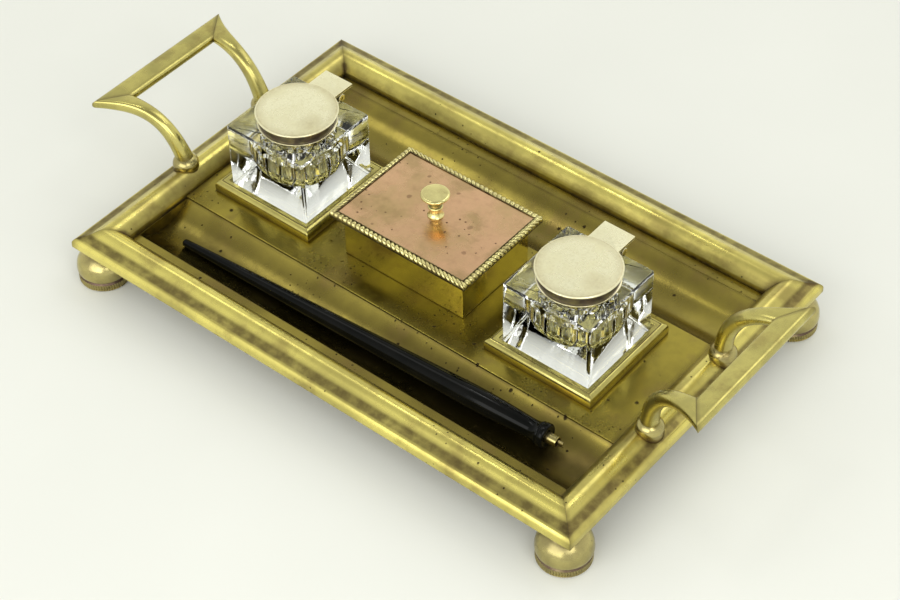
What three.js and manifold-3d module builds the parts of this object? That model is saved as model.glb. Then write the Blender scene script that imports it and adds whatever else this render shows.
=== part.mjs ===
// A brass desk inkstand: a mitred moulding rim on four bun feet with two carrying handles,
// a pressed liner with pen troughs, two cut-glass inkwells with hinged caps, a stamp box and a pen.
// Millimetres, +Z up, +X along the long side, the pen trough at -Y. The origin is on the table.

import * as THREE from "three";
import { mergeVertices } from "three/addons/utils/BufferGeometryUtils.js";
import Module from "manifold-3d";

const wasm = await Module();
wasm.setup();

// ---- driving dimensions ----

const RIM_LENGTH = 300;
const RIM_DEPTH = 198;
const RAIL_WIDTH = 19.6;
const RAIL_UNDERSIDE = 19.8;
const RAIL_CREST_HEIGHT = 29.6;
const RAIL_WALL = 3.2;
const RAIL_ROOF = 24.8;
const MITRE_GAP = 0.15;

const INSIDE_X = RIM_LENGTH / 2 - RAIL_WIDTH;
const INSIDE_Y = RIM_DEPTH / 2 - RAIL_WIDTH;

const LINER_TOP = 21;
const LINER_SHEET = 0.9;
const LINER_GAP = 0.15;
const TROUGH_DEPTH = 7;
const FLANGE_WIDTH = 6;
const PLATFORM_FRONT = -40;
const PLATFORM_BACK = 36;
const PLATFORM_SHEET = 1;
const PLATFORM_TOP = LINER_TOP + PLATFORM_SHEET;

const FOOT_RADIUS = 13.2;
const FOOT_BASE_RADIUS = 12.9;
const FOOT_NECK_RADIUS = 7;
const FOOT_INSET = 9.8;
const GUSSET_SIZE = 12.8;
const GUSSET_SHEET = 3;

const BOSS_INSET = 9.6;
const BOSS_Y = 28.4;
const BOSS_RADIUS = 6.6;
const BOSS_HEIGHT = 6;
const BOSS_SKIRT = 4.4;
const BOSS_SEAT_GAP = 0.05;
const ARM_SEAT = 3;
const ARM_FOOT_RADIUS = 4.4;
const ARM_FLARE = 3;
const ARM_FLATTEN = 1.6;
const ARM_START_PULL = 0.5;
const ARM_END_PULL = 0.36;
const GRIP_HALF_OUTER = 45.4;
const GRIP_WIDTH = 12;
const GRIP_THICKNESS = 4.6;
const LEFT_HANDLE = { reach: 184.6, gripTop: 58, tilt: 0, lean: 70 };
const RIGHT_HANDLE = { reach: 174.5, gripTop: 68.3, tilt: 14, lean: 92 };
const HANDLE_MITRE_GAP = 0.2;
const STUD_RADIUS = 1.9;
const STUD_CLEARANCE = 0.15;
const NUT_HALF_FLATS = 3;
const NUT_HEIGHT = 2.6;

const LEFT_WELL = new THREE.Vector2(-91.6, 2.7);
const RIGHT_WELL = new THREE.Vector2(79.2, 0.1);
const GALLERY_HALF = 30.4;
const GALLERY_HEIGHT = 6;
const GALLERY_FLOOR = 1.5;
const GLASS_HALF = 24.65;
const GLASS_GAP = 0.4;
const GLASS_CHAMFER = 1.3;
const GLASS_EDGE = 0.9;
const GLASS_TOP = 62.7;
const GLASS_BOTTOM = PLATFORM_TOP + GALLERY_FLOOR;
const NECK_RADIUS = 15.5;
const NECK_TOP = 66;
const MOUTH_RADIUS = 12.6;
const WELL_RADIUS = 16.5;
const WELL_FLOOR = 36;

const COLLAR_RADIUS = 18.6;
const COLLAR_FLANGE_RADIUS = 19.6;
const COLLAR_BOTTOM = 62.8;
const COLLAR_TOP = 68.3;
const CAP_RADIUS = 20.3;
const CAP_BOTTOM = 68.5;
const CAP_TOP = 69.9;
const HINGE_Y = 23.2;
const HINGE_Z = 65.4;
const KNUCKLE_RADIUS = 2.1;
const PIN_RADIUS = 0.8;
const PIN_BORE = 0.9;
const TAB_HALF = 8.4;
const TAB_REACH = 31;
const TAB_SHEET = 1.7;
const KNUCKLE_SPLIT = 4.3;

const BOX_CENTRE = new THREE.Vector2(-6.2, 3.2);
const BOX_HALF_X = 35.9;
const BOX_HALF_Y = 24.8;
const BOX_WALL = 1.5;
const BOX_TOP = 46.4;
const LID_HALF_X = 41;
const LID_HALF_Y = 29.9;
const LID_BORDER = 3.4;
const LID_BOTTOM = 46.6;
const LID_BORDER_TOP = 50.1;
const LID_PANEL_BOTTOM = 48;
const LID_PANEL_TOP = 49.3;
const LID_RIM_DEPTH = 4.6;
const KNOB_HEIGHT = 13.9;
const KNOB_RADIUS = 7;

const PEN_TAIL = new THREE.Vector3(-112.8, -60.5, 16.5);
const PEN_HEAD = new THREE.Vector3(104.6, -54.4, 21);
const PEN_BARREL_RADIUS = 5.7;
const PEN_COLLAR_RADIUS = 6.1;
const PEN_TAIL_RADIUS = 1.9;
const FERRULE_LENGTH = 5.2;
const FERRULE_RADIUS = 2.6;
const NIB_LENGTH = 3;

const SCREW_RADIUS = 1.5;
const SCREW_HEAD_RADIUS = 3.2;
const SCREW_HEAD_HEIGHT = 1.8;

const ROUND_STEPS = 20;
const FINE_ROUND_STEPS = 28;
const SMALL_ROUND_STEPS = 12;
const CURVE_STEPS = 4;

// ---- materials ----

const brass = new THREE.MeshStandardMaterial({ color: 0xb5a252, roughness: 0.28, metalness: 1 });
const paleBrass = new THREE.MeshStandardMaterial({ color: 0xd9cf9c, roughness: 0.32, metalness: 1 });
const darkBrass = new THREE.MeshStandardMaterial({ color: 0x8a7b3d, roughness: 0.5, metalness: 1 });
const copper = new THREE.MeshStandardMaterial({ color: 0xc98d68, roughness: 0.35, metalness: 1 });
const glass = new THREE.MeshStandardMaterial({ color: 0xe6ece6, roughness: 0.05, metalness: 0 });
const ebonised = new THREE.MeshStandardMaterial({ color: 0x0b0b0c, roughness: 0.18, metalness: 0 });
const gilt = new THREE.MeshStandardMaterial({ color: 0xcdb257, roughness: 0.3, metalness: 1 });

// ---- geometry helpers ----

function signedVolume(geometry) {
  const position = geometry.attributes.position;
  const index = geometry.index;
  const a = new THREE.Vector3();
  const b = new THREE.Vector3();
  const c = new THREE.Vector3();
  let sum = 0;
  for (let i = 0; i < index.count; i += 3) {
    a.fromBufferAttribute(position, index.getX(i));
    b.fromBufferAttribute(position, index.getX(i + 1));
    c.fromBufferAttribute(position, index.getX(i + 2));
    sum += a.dot(b.cross(c)) / 6;
  }
  return sum;
}

// Shared vertices are merged, slivers dropped and the faces turned to point out.
function closed(geometry) {
  const bare = geometry.clone();
  bare.deleteAttribute("normal");
  bare.deleteAttribute("uv");
  const merged = mergeVertices(bare, 1e-4);
  const index = merged.index.array;
  const inward = signedVolume(merged) < 0;
  const kept = [];
  for (let i = 0; i < index.length; i += 3) {
    const [p, q, r] = [index[i], index[i + 1], index[i + 2]];
    if (p === q || q === r || r === p) continue;
    kept.push(...(inward ? [p, r, q] : [p, q, r]));
  }
  merged.setIndex(kept);
  return merged;
}

function toSolid(geometry) {
  const mesh = closed(geometry);
  return new wasm.Manifold(
    new wasm.Mesh({
      numProp: 3,
      vertProperties: new Float32Array(mesh.attributes.position.array),
      triVerts: new Uint32Array(mesh.index.array),
    })
  );
}

function fromSolid(solid) {
  const mesh = solid.getMesh();
  const geometry = new THREE.BufferGeometry();
  geometry.setAttribute("position", new THREE.BufferAttribute(mesh.vertProperties, 3));
  geometry.setIndex(Array.from(mesh.triVerts));
  return geometry;
}

function cut(geometry, ...tools) {
  const solid = tools.reduce((body, tool) => body.subtract(toSolid(tool)), toSolid(geometry));
  return fromSolid(solid);
}

function join(geometry, ...others) {
  const solid = others.reduce((body, other) => body.add(toSolid(other)), toSolid(geometry));
  return fromSolid(solid);
}

// A profile of [radius, height] pairs turned about the Z axis.
function turned(points, steps = ROUND_STEPS) {
  const geometry = new THREE.LatheGeometry(points.map(([r, z]) => new THREE.Vector2(r, z)), steps);
  return closed(geometry.rotateX(Math.PI / 2));
}

// A profile of [half width, height] pairs swept round a rectangle with mitred corners.
function squareTurned(points, extraX = 0) {
  const stretched = points.map(([half, z]) => [half * Math.SQRT2, z]);
  const geometry = turned(stretched, 4).rotateZ(Math.PI / 4);
  const position = geometry.attributes.position;
  for (let i = 0; i < position.count; i += 1) {
    const x = position.getX(i);
    if (Math.abs(x) > 1e-3) position.setX(i, x + Math.sign(x) * extraX);
  }
  return geometry;
}

function box(low, high) {
  const size = high.map((value, i) => value - low[i]);
  const centre = high.map((value, i) => (value + low[i]) / 2);
  return new THREE.BoxGeometry(...size).translate(...centre);
}

// A round bar standing on the Z axis between two heights.
function bar(radius, low, high, steps = SMALL_ROUND_STEPS) {
  const geometry = new THREE.CylinderGeometry(radius, radius, high - low, steps);
  return geometry.rotateX(Math.PI / 2).translate(0, 0, (high + low) / 2);
}

// A round bar lying along X, centred on the hinge axis.
function hingeBar(radius, left, right, steps = SMALL_ROUND_STEPS) {
  const geometry = new THREE.CylinderGeometry(radius, radius, right - left, steps);
  return geometry.rotateZ(Math.PI / 2).translate((left + right) / 2, HINGE_Y, HINGE_Z);
}

const group = new THREE.Group();
group.position.x = (LEFT_HANDLE.reach - RIGHT_HANDLE.reach) / 2;

function add(name, geometry, material, parent = group) {
  const mesh = new THREE.Mesh(geometry, material.clone());
  mesh.name = name;
  parent.add(mesh);
  return mesh;
}

// ---- rim ----

// The moulding: a thin outer lip, a shallow cove, a broad crest and a rounded fall to the inside.
// The back is hollow. Each pair is the distance in from the outer edge and the height.
function mouldingShape() {
  const face = [
    [0, RAIL_UNDERSIDE],
    [0, RAIL_CREST_HEIGHT - 7.2],
    [0.5, RAIL_CREST_HEIGHT - 5.6],
    [1.6, RAIL_CREST_HEIGHT - 4.4],
    [3.4, RAIL_CREST_HEIGHT - 3.8],
    [5.4, RAIL_CREST_HEIGHT - 3.2],
    [7.4, RAIL_CREST_HEIGHT - 2.1],
    [9.2, RAIL_CREST_HEIGHT - 0.9],
    [11, RAIL_CREST_HEIGHT - 0.1],
    [12.6, RAIL_CREST_HEIGHT],
    [14.6, RAIL_CREST_HEIGHT - 0.6],
    [16.6, RAIL_CREST_HEIGHT - 2.1],
    [18.4, RAIL_CREST_HEIGHT - 4.2],
    [19.5, RAIL_CREST_HEIGHT - 6],
    [RAIL_WIDTH, RAIL_CREST_HEIGHT - 6.4],
    [RAIL_WIDTH, RAIL_UNDERSIDE],
  ];
  const hollow = [
    [RAIL_WIDTH - RAIL_WALL, RAIL_UNDERSIDE],
    [RAIL_WIDTH - RAIL_WALL, RAIL_ROOF - 1.3],
    [13.4, RAIL_ROOF],
    [5.9, RAIL_ROOF],
    [RAIL_WALL, RAIL_ROOF - 1.9],
    [RAIL_WALL, RAIL_UNDERSIDE],
  ];
  const outline = [...face, ...hollow];
  return new THREE.Shape(outline.map(([inset, height]) => new THREE.Vector2(inset, height)));
}

// A rail along X at -Y whose ends are sheared to the 45 degree mitre planes.
function rail(halfLength, halfDepth) {
  const geometry = new THREE.ExtrudeGeometry(mouldingShape(), { depth: 1, bevelEnabled: false });
  const position = geometry.attributes.position;
  for (let i = 0; i < position.count; i += 1) {
    const inset = position.getX(i);
    const height = position.getY(i);
    const side = position.getZ(i) > 0.5 ? 1 : -1;
    position.setXYZ(i, side * (halfLength - inset - MITRE_GAP), inset - halfDepth, height);
  }
  return closed(geometry);
}

function studHoles() {
  const bossX = RIM_LENGTH / 2 - BOSS_INSET;
  return [-BOSS_Y, BOSS_Y].map((along) => {
    const hole = bar(STUD_RADIUS + STUD_CLEARANCE, RAIL_ROOF - 1, RAIL_CREST_HEIGHT + 1);
    return hole.translate(along, -bossX, 0);
  });
}

function addRim() {
  const quarter = Math.PI / 2;
  add("rim_front", rail(RIM_LENGTH / 2, RIM_DEPTH / 2), brass);
  add("rim_back", rail(RIM_LENGTH / 2, RIM_DEPTH / 2).rotateZ(2 * quarter), brass);
  const endRail = cut(rail(RIM_DEPTH / 2, RIM_LENGTH / 2), ...studHoles());
  add("rim_right", endRail.clone().rotateZ(quarter), brass);
  add("rim_left", endRail.clone().rotateZ(-quarter), brass);
}

// ---- liner and platform ----

function troughPoints(front, back, lift) {
  const half = (back - front) / 2;
  const radius = (half * half + TROUGH_DEPTH * TROUGH_DEPTH) / (2 * TROUGH_DEPTH);
  const sweep = Math.asin(half / radius);
  const steps = 12;
  const points = [];
  for (let i = 0; i <= steps; i += 1) {
    const angle = sweep * ((2 * i) / steps - 1);
    const y = (front + back) / 2 + radius * Math.sin(angle);
    const z = LINER_TOP + lift - TROUGH_DEPTH + radius * (1 - Math.cos(angle));
    points.push([y, z]);
  }
  return points;
}

// One sheet pressed into a front trough, a flat for the platform and a rear trough.
function linerLine(lift) {
  const edge = INSIDE_Y - LINER_GAP;
  return [
    [-edge, LINER_TOP + lift],
    ...troughPoints(-INSIDE_Y + FLANGE_WIDTH, PLATFORM_FRONT, lift),
    ...troughPoints(PLATFORM_BACK, INSIDE_Y - FLANGE_WIDTH, lift),
    [edge, LINER_TOP + lift],
  ];
}

function linerSheet() {
  const outline = [...linerLine(0), ...linerLine(-LINER_SHEET).reverse()];
  const shape = new THREE.Shape(outline.map(([y, z]) => new THREE.Vector2(y, z)));
  const length = 2 * (INSIDE_X - LINER_GAP);
  const geometry = new THREE.ExtrudeGeometry(shape, { depth: length, bevelEnabled: false });
  geometry.rotateX(Math.PI / 2).rotateZ(Math.PI / 2);
  return geometry.translate(-length / 2, 0, 0);
}

// An upright wall that closes one end of a trough, 1 for the +X end and -1 for the -X end.
function troughEnd(front, back, side) {
  const overlap = LINER_SHEET / 2;
  const outline = [...troughPoints(front, back, -overlap), [back, LINER_TOP], [front, LINER_TOP]];
  const shape = new THREE.Shape(outline.map(([y, z]) => new THREE.Vector2(y, z)));
  const geometry = new THREE.ExtrudeGeometry(shape, { depth: LINER_SHEET, bevelEnabled: false });
  geometry.rotateX(Math.PI / 2).rotateZ(Math.PI / 2);
  const outerFace = INSIDE_X - LINER_GAP;
  return geometry.translate(side > 0 ? outerFace - LINER_SHEET : -outerFace, 0, 0);
}

function linerBody() {
  const ends = [];
  for (const side of [-1, 1]) {
    ends.push(troughEnd(-INSIDE_Y + FLANGE_WIDTH, PLATFORM_FRONT, side));
    ends.push(troughEnd(PLATFORM_BACK, INSIDE_Y - FLANGE_WIDTH, side));
  }
  return join(linerSheet(), ...ends);
}

function screwHoles(low, high) {
  return [LEFT_WELL, BOX_CENTRE, RIGHT_WELL].map((centre) => {
    return bar(SCREW_RADIUS + STUD_CLEARANCE, low, high).translate(centre.x, centre.y, 0);
  });
}

function addLinerAndPlatform() {
  const halfX = INSIDE_X - LINER_GAP;
  const holes = screwHoles(LINER_TOP - 3, PLATFORM_TOP + 3);
  add("tray_liner", cut(linerBody(), ...holes), brass);
  const plate = box([-halfX, PLATFORM_FRONT, LINER_TOP], [halfX, PLATFORM_BACK, PLATFORM_TOP]);
  add("platform_plate", cut(plate, ...holes), brass);
}

// Pan-head screws that come up from below and hold the galleries and the stamp box.
function addScrews() {
  const seat = LINER_TOP - LINER_SHEET;
  const end = PLATFORM_TOP + GALLERY_FLOOR;
  const profile = [
    [0, seat - SCREW_HEAD_HEIGHT],
    [SCREW_HEAD_RADIUS - 0.8, seat - SCREW_HEAD_HEIGHT],
    [SCREW_HEAD_RADIUS, seat - 0.8],
    [SCREW_HEAD_RADIUS, seat],
    [SCREW_RADIUS, seat],
    [SCREW_RADIUS, end],
    [0, end],
  ];
  const spots = { gallery_screw_left: LEFT_WELL, stamp_box_screw: BOX_CENTRE, gallery_screw_right: RIGHT_WELL };
  for (const [name, centre] of Object.entries(spots)) {
    add(name, turned(profile, SMALL_ROUND_STEPS).translate(centre.x, centre.y, 0), darkBrass);
  }
}

// ---- feet ----

// A bun foot: a base band, a groove, a dome and a neck, with a spigot that screws into the gusset.
function footGeometry() {
  const band = 4.2;
  const spigot = 2.6;
  const top = RAIL_UNDERSIDE - 0.1;
  return turned([
    [0, 0],
    [FOOT_BASE_RADIUS - 0.9, 0],
    [FOOT_BASE_RADIUS, 0.9],
    [FOOT_BASE_RADIUS, band],
    [FOOT_BASE_RADIUS - 0.6, band + 0.6],
    [FOOT_BASE_RADIUS - 0.6, band + 1],
    [FOOT_RADIUS - 0.3, band + 2],
    [FOOT_RADIUS, band + 3.8],
    [FOOT_RADIUS - 0.6, band + 7.2],
    [FOOT_RADIUS - 2, band + 9.6],
    [FOOT_RADIUS - 4, band + 11.6],
    [FOOT_NECK_RADIUS + 0.4, band + 13],
    [FOOT_NECK_RADIUS, band + 14],
    [FOOT_NECK_RADIUS, top],
    [spigot, top],
    [spigot, top + GUSSET_SHEET],
    [0, top + GUSSET_SHEET],
  ]);
}

// A small plate soldered into the hollow of the rim at a mitre, tapped for the foot.
function gussetGeometry() {
  const half = GUSSET_SIZE / 2;
  const top = RAIL_UNDERSIDE + GUSSET_SHEET;
  const plate = box([-half, -half, RAIL_UNDERSIDE], [half, half, top]);
  return cut(plate, bar(2.8, RAIL_UNDERSIDE - 1, top + 1));
}

function addFeet() {
  const x = RIM_LENGTH / 2 - FOOT_INSET;
  const y = RIM_DEPTH / 2 - FOOT_INSET;
  const corners = { front_left: [-x, -y], front_right: [x, -y], back_right: [x, y], back_left: [-x, y] };
  for (const [name, place] of Object.entries(corners)) {
    add(`foot_${name}`, footGeometry(), brass).position.set(...place, 0);
    add(`corner_gusset_${name}`, gussetGeometry(), darkBrass).position.set(...place, 0);
  }
}

// ---- handles ----

// The arm rises steeply from the boss, bends over to the inner edge of the grip, then runs
// straight under the mitre. Distances run outward from the boss, heights up from it.
function armPath(reach, rise, tilt, lean) {
  const along = new THREE.Vector2(Math.cos(tilt), Math.sin(tilt));
  const foot = new THREE.Vector2(0, 0);
  const end = new THREE.Vector2(reach, rise).addScaledVector(along, -GRIP_WIDTH);
  const pull = end.length();
  const first = new THREE.Vector2(Math.cos(lean), Math.sin(lean)).multiplyScalar(pull * ARM_START_PULL);
  const second = end.clone().addScaledVector(along, -pull * ARM_END_PULL);
  const bend = new THREE.CubicBezierCurve(foot, first, second, end);
  const arcLength = bend.getLength();
  return {
    tilt,
    arcLength,
    at(distance) {
      const share = Math.min(distance / arcLength, 1);
      const spot = bend.getPointAt(share).addScaledVector(along, Math.max(distance - arcLength, 0));
      return { out: spot.x, up: spot.y, angle: bend.getTangentAt(share).angle() };
    },
  };
}

// One arm on the +Y side of the +X handle: round at the boss, broad and flat at the mitre.
function armLoft(path) {
  const rings = 12;
  const sides = 14;
  const geometry = closed(new THREE.CylinderGeometry(1, 1, 1, sides, rings));
  const position = geometry.attributes.position;
  const innerEnd = path.arcLength - HANDLE_MITRE_GAP;
  const outerEnd = innerEnd + GRIP_WIDTH;
  for (let i = 0; i < position.count; i += 1) {
    const along = position.getY(i) + 0.5;
    const across = position.getX(i);
    const through = position.getZ(i);
    const inner = BOSS_Y - ARM_FOOT_RADIUS * (1 - along);
    const flare = (GRIP_HALF_OUTER - BOSS_Y - ARM_FOOT_RADIUS) * along ** ARM_FLARE;
    const outer = BOSS_Y + ARM_FOOT_RADIUS + flare;
    const share = (across + 1) / 2;
    const thickness = THREE.MathUtils.lerp(ARM_FOOT_RADIUS, GRIP_THICKNESS / 2, along ** ARM_FLATTEN);
    const spot = path.at(along * THREE.MathUtils.lerp(innerEnd, outerEnd, share));
    const lift = through * thickness;
    position.setXYZ(
      i,
      spot.out - Math.sin(spot.angle) * lift,
      THREE.MathUtils.lerp(inner, outer, share),
      spot.up + Math.cos(spot.angle) * lift
    );
  }
  return geometry;
}

// A domed collar whose skirt reaches down past the crest of the rim.
function bossProfile(grow) {
  const waist = 1;
  const points = [[0, -BOSS_SKIRT], [BOSS_RADIUS + grow, -BOSS_SKIRT], [BOSS_RADIUS + grow, waist]];
  const steps = 5;
  for (let i = 1; i < steps; i += 1) {
    const angle = (Math.PI / 2) * (i / steps);
    const height = waist + (BOSS_HEIGHT - waist + grow) * Math.sin(angle);
    points.push([(BOSS_RADIUS + grow) * Math.cos(angle), height]);
  }
  points.push([0, BOSS_HEIGHT + grow]);
  return points;
}

function armGeometry(path) {
  const loft = armLoft(path).translate(0, 0, ARM_SEAT);
  const seat = turned(bossProfile(STUD_CLEARANCE), 16).translate(0, BOSS_Y, 0);
  const stud = bar(STUD_RADIUS, RAIL_ROOF - NUT_HEIGHT - 1 - RAIL_CREST_HEIGHT, BOSS_HEIGHT + 1);
  return join(cut(loft, seat), stud.translate(0, BOSS_Y, 0));
}

// The underside of a boss is cut to the curve of the rail that it stands on.
function bossGeometry(along) {
  const hole = bar(STUD_RADIUS + STUD_CLEARANCE, -BOSS_SKIRT - 1, BOSS_HEIGHT + 1);
  const seat = rail(RIM_DEPTH / 2, RIM_LENGTH / 2).rotateZ(Math.PI / 2);
  seat.translate(BOSS_INSET - RIM_LENGTH / 2, -along, BOSS_SEAT_GAP - RAIL_CREST_HEIGHT);
  return cut(turned(bossProfile(0), 16), hole, seat);
}

function nutGeometry() {
  const top = RAIL_ROOF - RAIL_CREST_HEIGHT - 0.1;
  const across = NUT_HALF_FLATS / Math.cos(Math.PI / 6);
  const hexagon = bar(across, top - NUT_HEIGHT, top, 6);
  const bore = bar(STUD_RADIUS + STUD_CLEARANCE, top - NUT_HEIGHT - 1, top + 1);
  return cut(hexagon, bore);
}

// The grip: a flattened half-round bar along Y with mitred ends.
function gripGeometry(path) {
  const half = GRIP_THICKNESS / 2;
  const shape = new THREE.Shape();
  shape.moveTo(0, -half * 0.55);
  shape.lineTo(0, half * 0.2);
  shape.quadraticCurveTo(0, half, GRIP_WIDTH * 0.28, half);
  shape.lineTo(GRIP_WIDTH * 0.72, half);
  shape.quadraticCurveTo(GRIP_WIDTH, half, GRIP_WIDTH, half * 0.2);
  shape.lineTo(GRIP_WIDTH, -half * 0.55);
  shape.lineTo(GRIP_WIDTH * 0.88, -half);
  shape.lineTo(GRIP_WIDTH * 0.12, -half);
  const options = { depth: 1, bevelEnabled: false, curveSegments: CURVE_STEPS };
  const geometry = new THREE.ExtrudeGeometry(shape, options);
  const position = geometry.attributes.position;
  const end = path.at(path.arcLength + GRIP_WIDTH);
  const slope = (GRIP_HALF_OUTER - BOSS_Y) / GRIP_WIDTH;
  for (let i = 0; i < position.count; i += 1) {
    const inset = position.getX(i);
    const lift = position.getY(i);
    const side = position.getZ(i) > 0.5 ? 1 : -1;
    position.setXYZ(
      i,
      end.out - inset * Math.cos(path.tilt) - lift * Math.sin(path.tilt),
      side * (GRIP_HALF_OUTER - inset * slope - HANDLE_MITRE_GAP),
      end.up - inset * Math.sin(path.tilt) + lift * Math.cos(path.tilt)
    );
  }
  return closed(geometry);
}

// Each handle is built for the +X side; the left one is turned half a turn about Z.
function addHandle(side, { reach, gripTop, tilt, lean }, yaw) {
  const bossX = RIM_LENGTH / 2 - BOSS_INSET;
  const rise = gripTop - GRIP_THICKNESS / 2 - RAIL_CREST_HEIGHT - ARM_SEAT;
  const { degToRad } = THREE.MathUtils;
  const path = armPath(reach - bossX, rise, degToRad(tilt), degToRad(lean));
  const turn = new THREE.Group();
  turn.rotation.z = yaw;
  const frame = new THREE.Group();
  frame.position.set(bossX, 0, RAIL_CREST_HEIGHT);
  turn.add(frame);
  group.add(turn);
  const flipped = yaw !== 0;
  for (const way of [1, -1]) {
    const place = way > 0 !== flipped ? "back" : "front";
    const along = way * BOSS_Y;
    add(`handle_${side}_arm_${place}`, closed(armGeometry(path).scale(1, way, 1)), brass, frame);
    add(`handle_${side}_boss_${place}`, bossGeometry(along), brass, frame).position.y = along;
    add(`handle_${side}_nut_${place}`, nutGeometry(), darkBrass, frame).position.y = along;
  }
  add(`handle_${side}_grip`, gripGeometry(path).translate(0, 0, ARM_SEAT), brass, frame);
}

// ---- inkwells ----

function galleryGeometry() {
  const inner = GLASS_HALF + GLASS_GAP;
  const low = PLATFORM_TOP;
  const high = PLATFORM_TOP + GALLERY_HEIGHT;
  const frame = squareTurned([
    [0, low],
    [GALLERY_HALF, low],
    [GALLERY_HALF, high - 2.4],
    [GALLERY_HALF - 0.5, high - 1.1],
    [GALLERY_HALF - 1.5, high - 0.3],
    [GALLERY_HALF - 2.4, high],
    [inner + 0.5, high],
    [inner, high - 0.5],
    [inner, low + GALLERY_FLOOR],
    [0, low + GALLERY_FLOOR],
  ]);
  return cut(frame, bar(SCREW_RADIUS + STUD_CLEARANCE, low - 1, low + GALLERY_FLOOR + 1));
}

// A square block with chamfered corners and a bevelled top, a neck, and a round well.
function glassGeometry() {
  const shape = new THREE.Shape();
  const near = GLASS_HALF - GLASS_CHAMFER;
  shape.moveTo(near, -GLASS_HALF);
  shape.lineTo(GLASS_HALF, -near);
  shape.lineTo(GLASS_HALF, near);
  shape.lineTo(near, GLASS_HALF);
  shape.lineTo(-near, GLASS_HALF);
  shape.lineTo(-GLASS_HALF, near);
  shape.lineTo(-GLASS_HALF, -near);
  shape.lineTo(-near, -GLASS_HALF);
  const options = {
    depth: GLASS_TOP - GLASS_BOTTOM - 2 * GLASS_EDGE,
    bevelThickness: GLASS_EDGE,
    bevelSize: GLASS_EDGE,
    bevelOffset: -GLASS_EDGE,
    bevelSegments: 1,
  };
  const block = new THREE.ExtrudeGeometry(shape, options).translate(0, 0, GLASS_BOTTOM + GLASS_EDGE);
  const neck = bar(NECK_RADIUS, GLASS_TOP - 2, NECK_TOP, ROUND_STEPS);
  const well = turned([
    [0, WELL_FLOOR],
    [WELL_RADIUS - 7.5, WELL_FLOOR],
    [WELL_RADIUS - 3.5, WELL_FLOOR + 3.5],
    [WELL_RADIUS, WELL_FLOOR + 10],
    [WELL_RADIUS, GLASS_TOP - 7],
    [WELL_RADIUS - 1.5, GLASS_TOP - 4],
    [MOUTH_RADIUS, GLASS_TOP - 1],
    [MOUTH_RADIUS, NECK_TOP + 1],
    [0, NECK_TOP + 1],
  ]);
  return cut(join(block, neck), well);
}

// The ring cemented round the neck, with the two outer knuckles of the hinge.
function collarGeometry() {
  const bore = NECK_RADIUS + STUD_CLEARANCE;
  const ring = turned([
    [bore, COLLAR_BOTTOM],
    [COLLAR_FLANGE_RADIUS, COLLAR_BOTTOM],
    [COLLAR_FLANGE_RADIUS, COLLAR_BOTTOM + 0.7],
    [COLLAR_RADIUS, COLLAR_BOTTOM + 1.2],
    [COLLAR_RADIUS, COLLAR_TOP],
    [bore, COLLAR_TOP],
    [bore, COLLAR_BOTTOM],
  ]);
  const leafTop = HINGE_Z - 0.8;
  const leaf = box([-TAB_HALF, NECK_RADIUS + 1, COLLAR_BOTTOM + 0.2], [TAB_HALF, HINGE_Y, leafTop]);
  const gap = box([-KNUCKLE_SPLIT, COLLAR_RADIUS + 0.6, COLLAR_BOTTOM], [KNUCKLE_SPLIT, TAB_REACH, CAP_TOP]);
  const knuckles = hingeBar(KNUCKLE_RADIUS, -TAB_HALF, TAB_HALF);
  const body = cut(join(ring, leaf, knuckles), gap);
  return cut(body, hingeBar(PIN_BORE, -TAB_HALF - 1, TAB_HALF + 1));
}

// The thin flat cap, its rear tab and the middle knuckle in one piece.
function capGeometry() {
  const disc = turned([
    [0, CAP_BOTTOM],
    [CAP_RADIUS - 0.4, CAP_BOTTOM],
    [CAP_RADIUS, CAP_BOTTOM + 0.4],
    [CAP_RADIUS, CAP_TOP - 0.6],
    [CAP_RADIUS - 0.6, CAP_TOP - 0.2],
    [CAP_RADIUS * 0.5, CAP_TOP - 0.1],
    [0, CAP_TOP],
  ], FINE_ROUND_STEPS);
  const tabTop = CAP_TOP - 0.3;
  const tabBottom = tabTop - TAB_SHEET;
  const side = KNUCKLE_SPLIT - 0.2;
  const tabStart = COLLAR_RADIUS - 3;
  const tab = box([-TAB_HALF, tabStart, CAP_BOTTOM], [TAB_HALF, TAB_REACH, tabTop]);
  const thickening = box([-TAB_HALF, COLLAR_RADIUS + 0.5, tabBottom], [TAB_HALF, TAB_REACH, tabTop]);
  const web = box([-side, HINGE_Y - 1.4, HINGE_Z], [side, HINGE_Y + 1.4, tabBottom + 0.5]);
  const knuckle = hingeBar(KNUCKLE_RADIUS, -side, side);
  const bore = hingeBar(PIN_BORE, -TAB_HALF, TAB_HALF);
  return cut(join(disc, tab, thickening, web, knuckle), bore);
}

function addInkwell(side, centre) {
  const well = new THREE.Group();
  well.position.set(centre.x, centre.y, 0);
  group.add(well);
  add(`gallery_${side}`, galleryGeometry(), brass, well);
  add(`inkwell_glass_${side}`, glassGeometry(), glass, well);
  add(`inkwell_collar_${side}`, collarGeometry(), darkBrass, well);
  add(`inkwell_cap_${side}`, capGeometry(), paleBrass, well);
  add(`hinge_pin_${side}`, hingeBar(PIN_RADIUS, -TAB_HALF, TAB_HALF), darkBrass, well);
}

// ---- stamp box ----

function boxBodyGeometry() {
  const inner = BOX_HALF_Y - BOX_WALL;
  const walls = squareTurned([
    [0, PLATFORM_TOP],
    [BOX_HALF_Y, PLATFORM_TOP],
    [BOX_HALF_Y, BOX_TOP],
    [inner, BOX_TOP],
    [inner, PLATFORM_TOP + BOX_WALL],
    [0, PLATFORM_TOP + BOX_WALL],
  ], BOX_HALF_X - BOX_HALF_Y);
  const holeTop = PLATFORM_TOP + BOX_WALL + 1;
  return cut(walls, bar(SCREW_RADIUS + STUD_CLEARANCE, PLATFORM_TOP - 1, holeTop));
}

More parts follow.
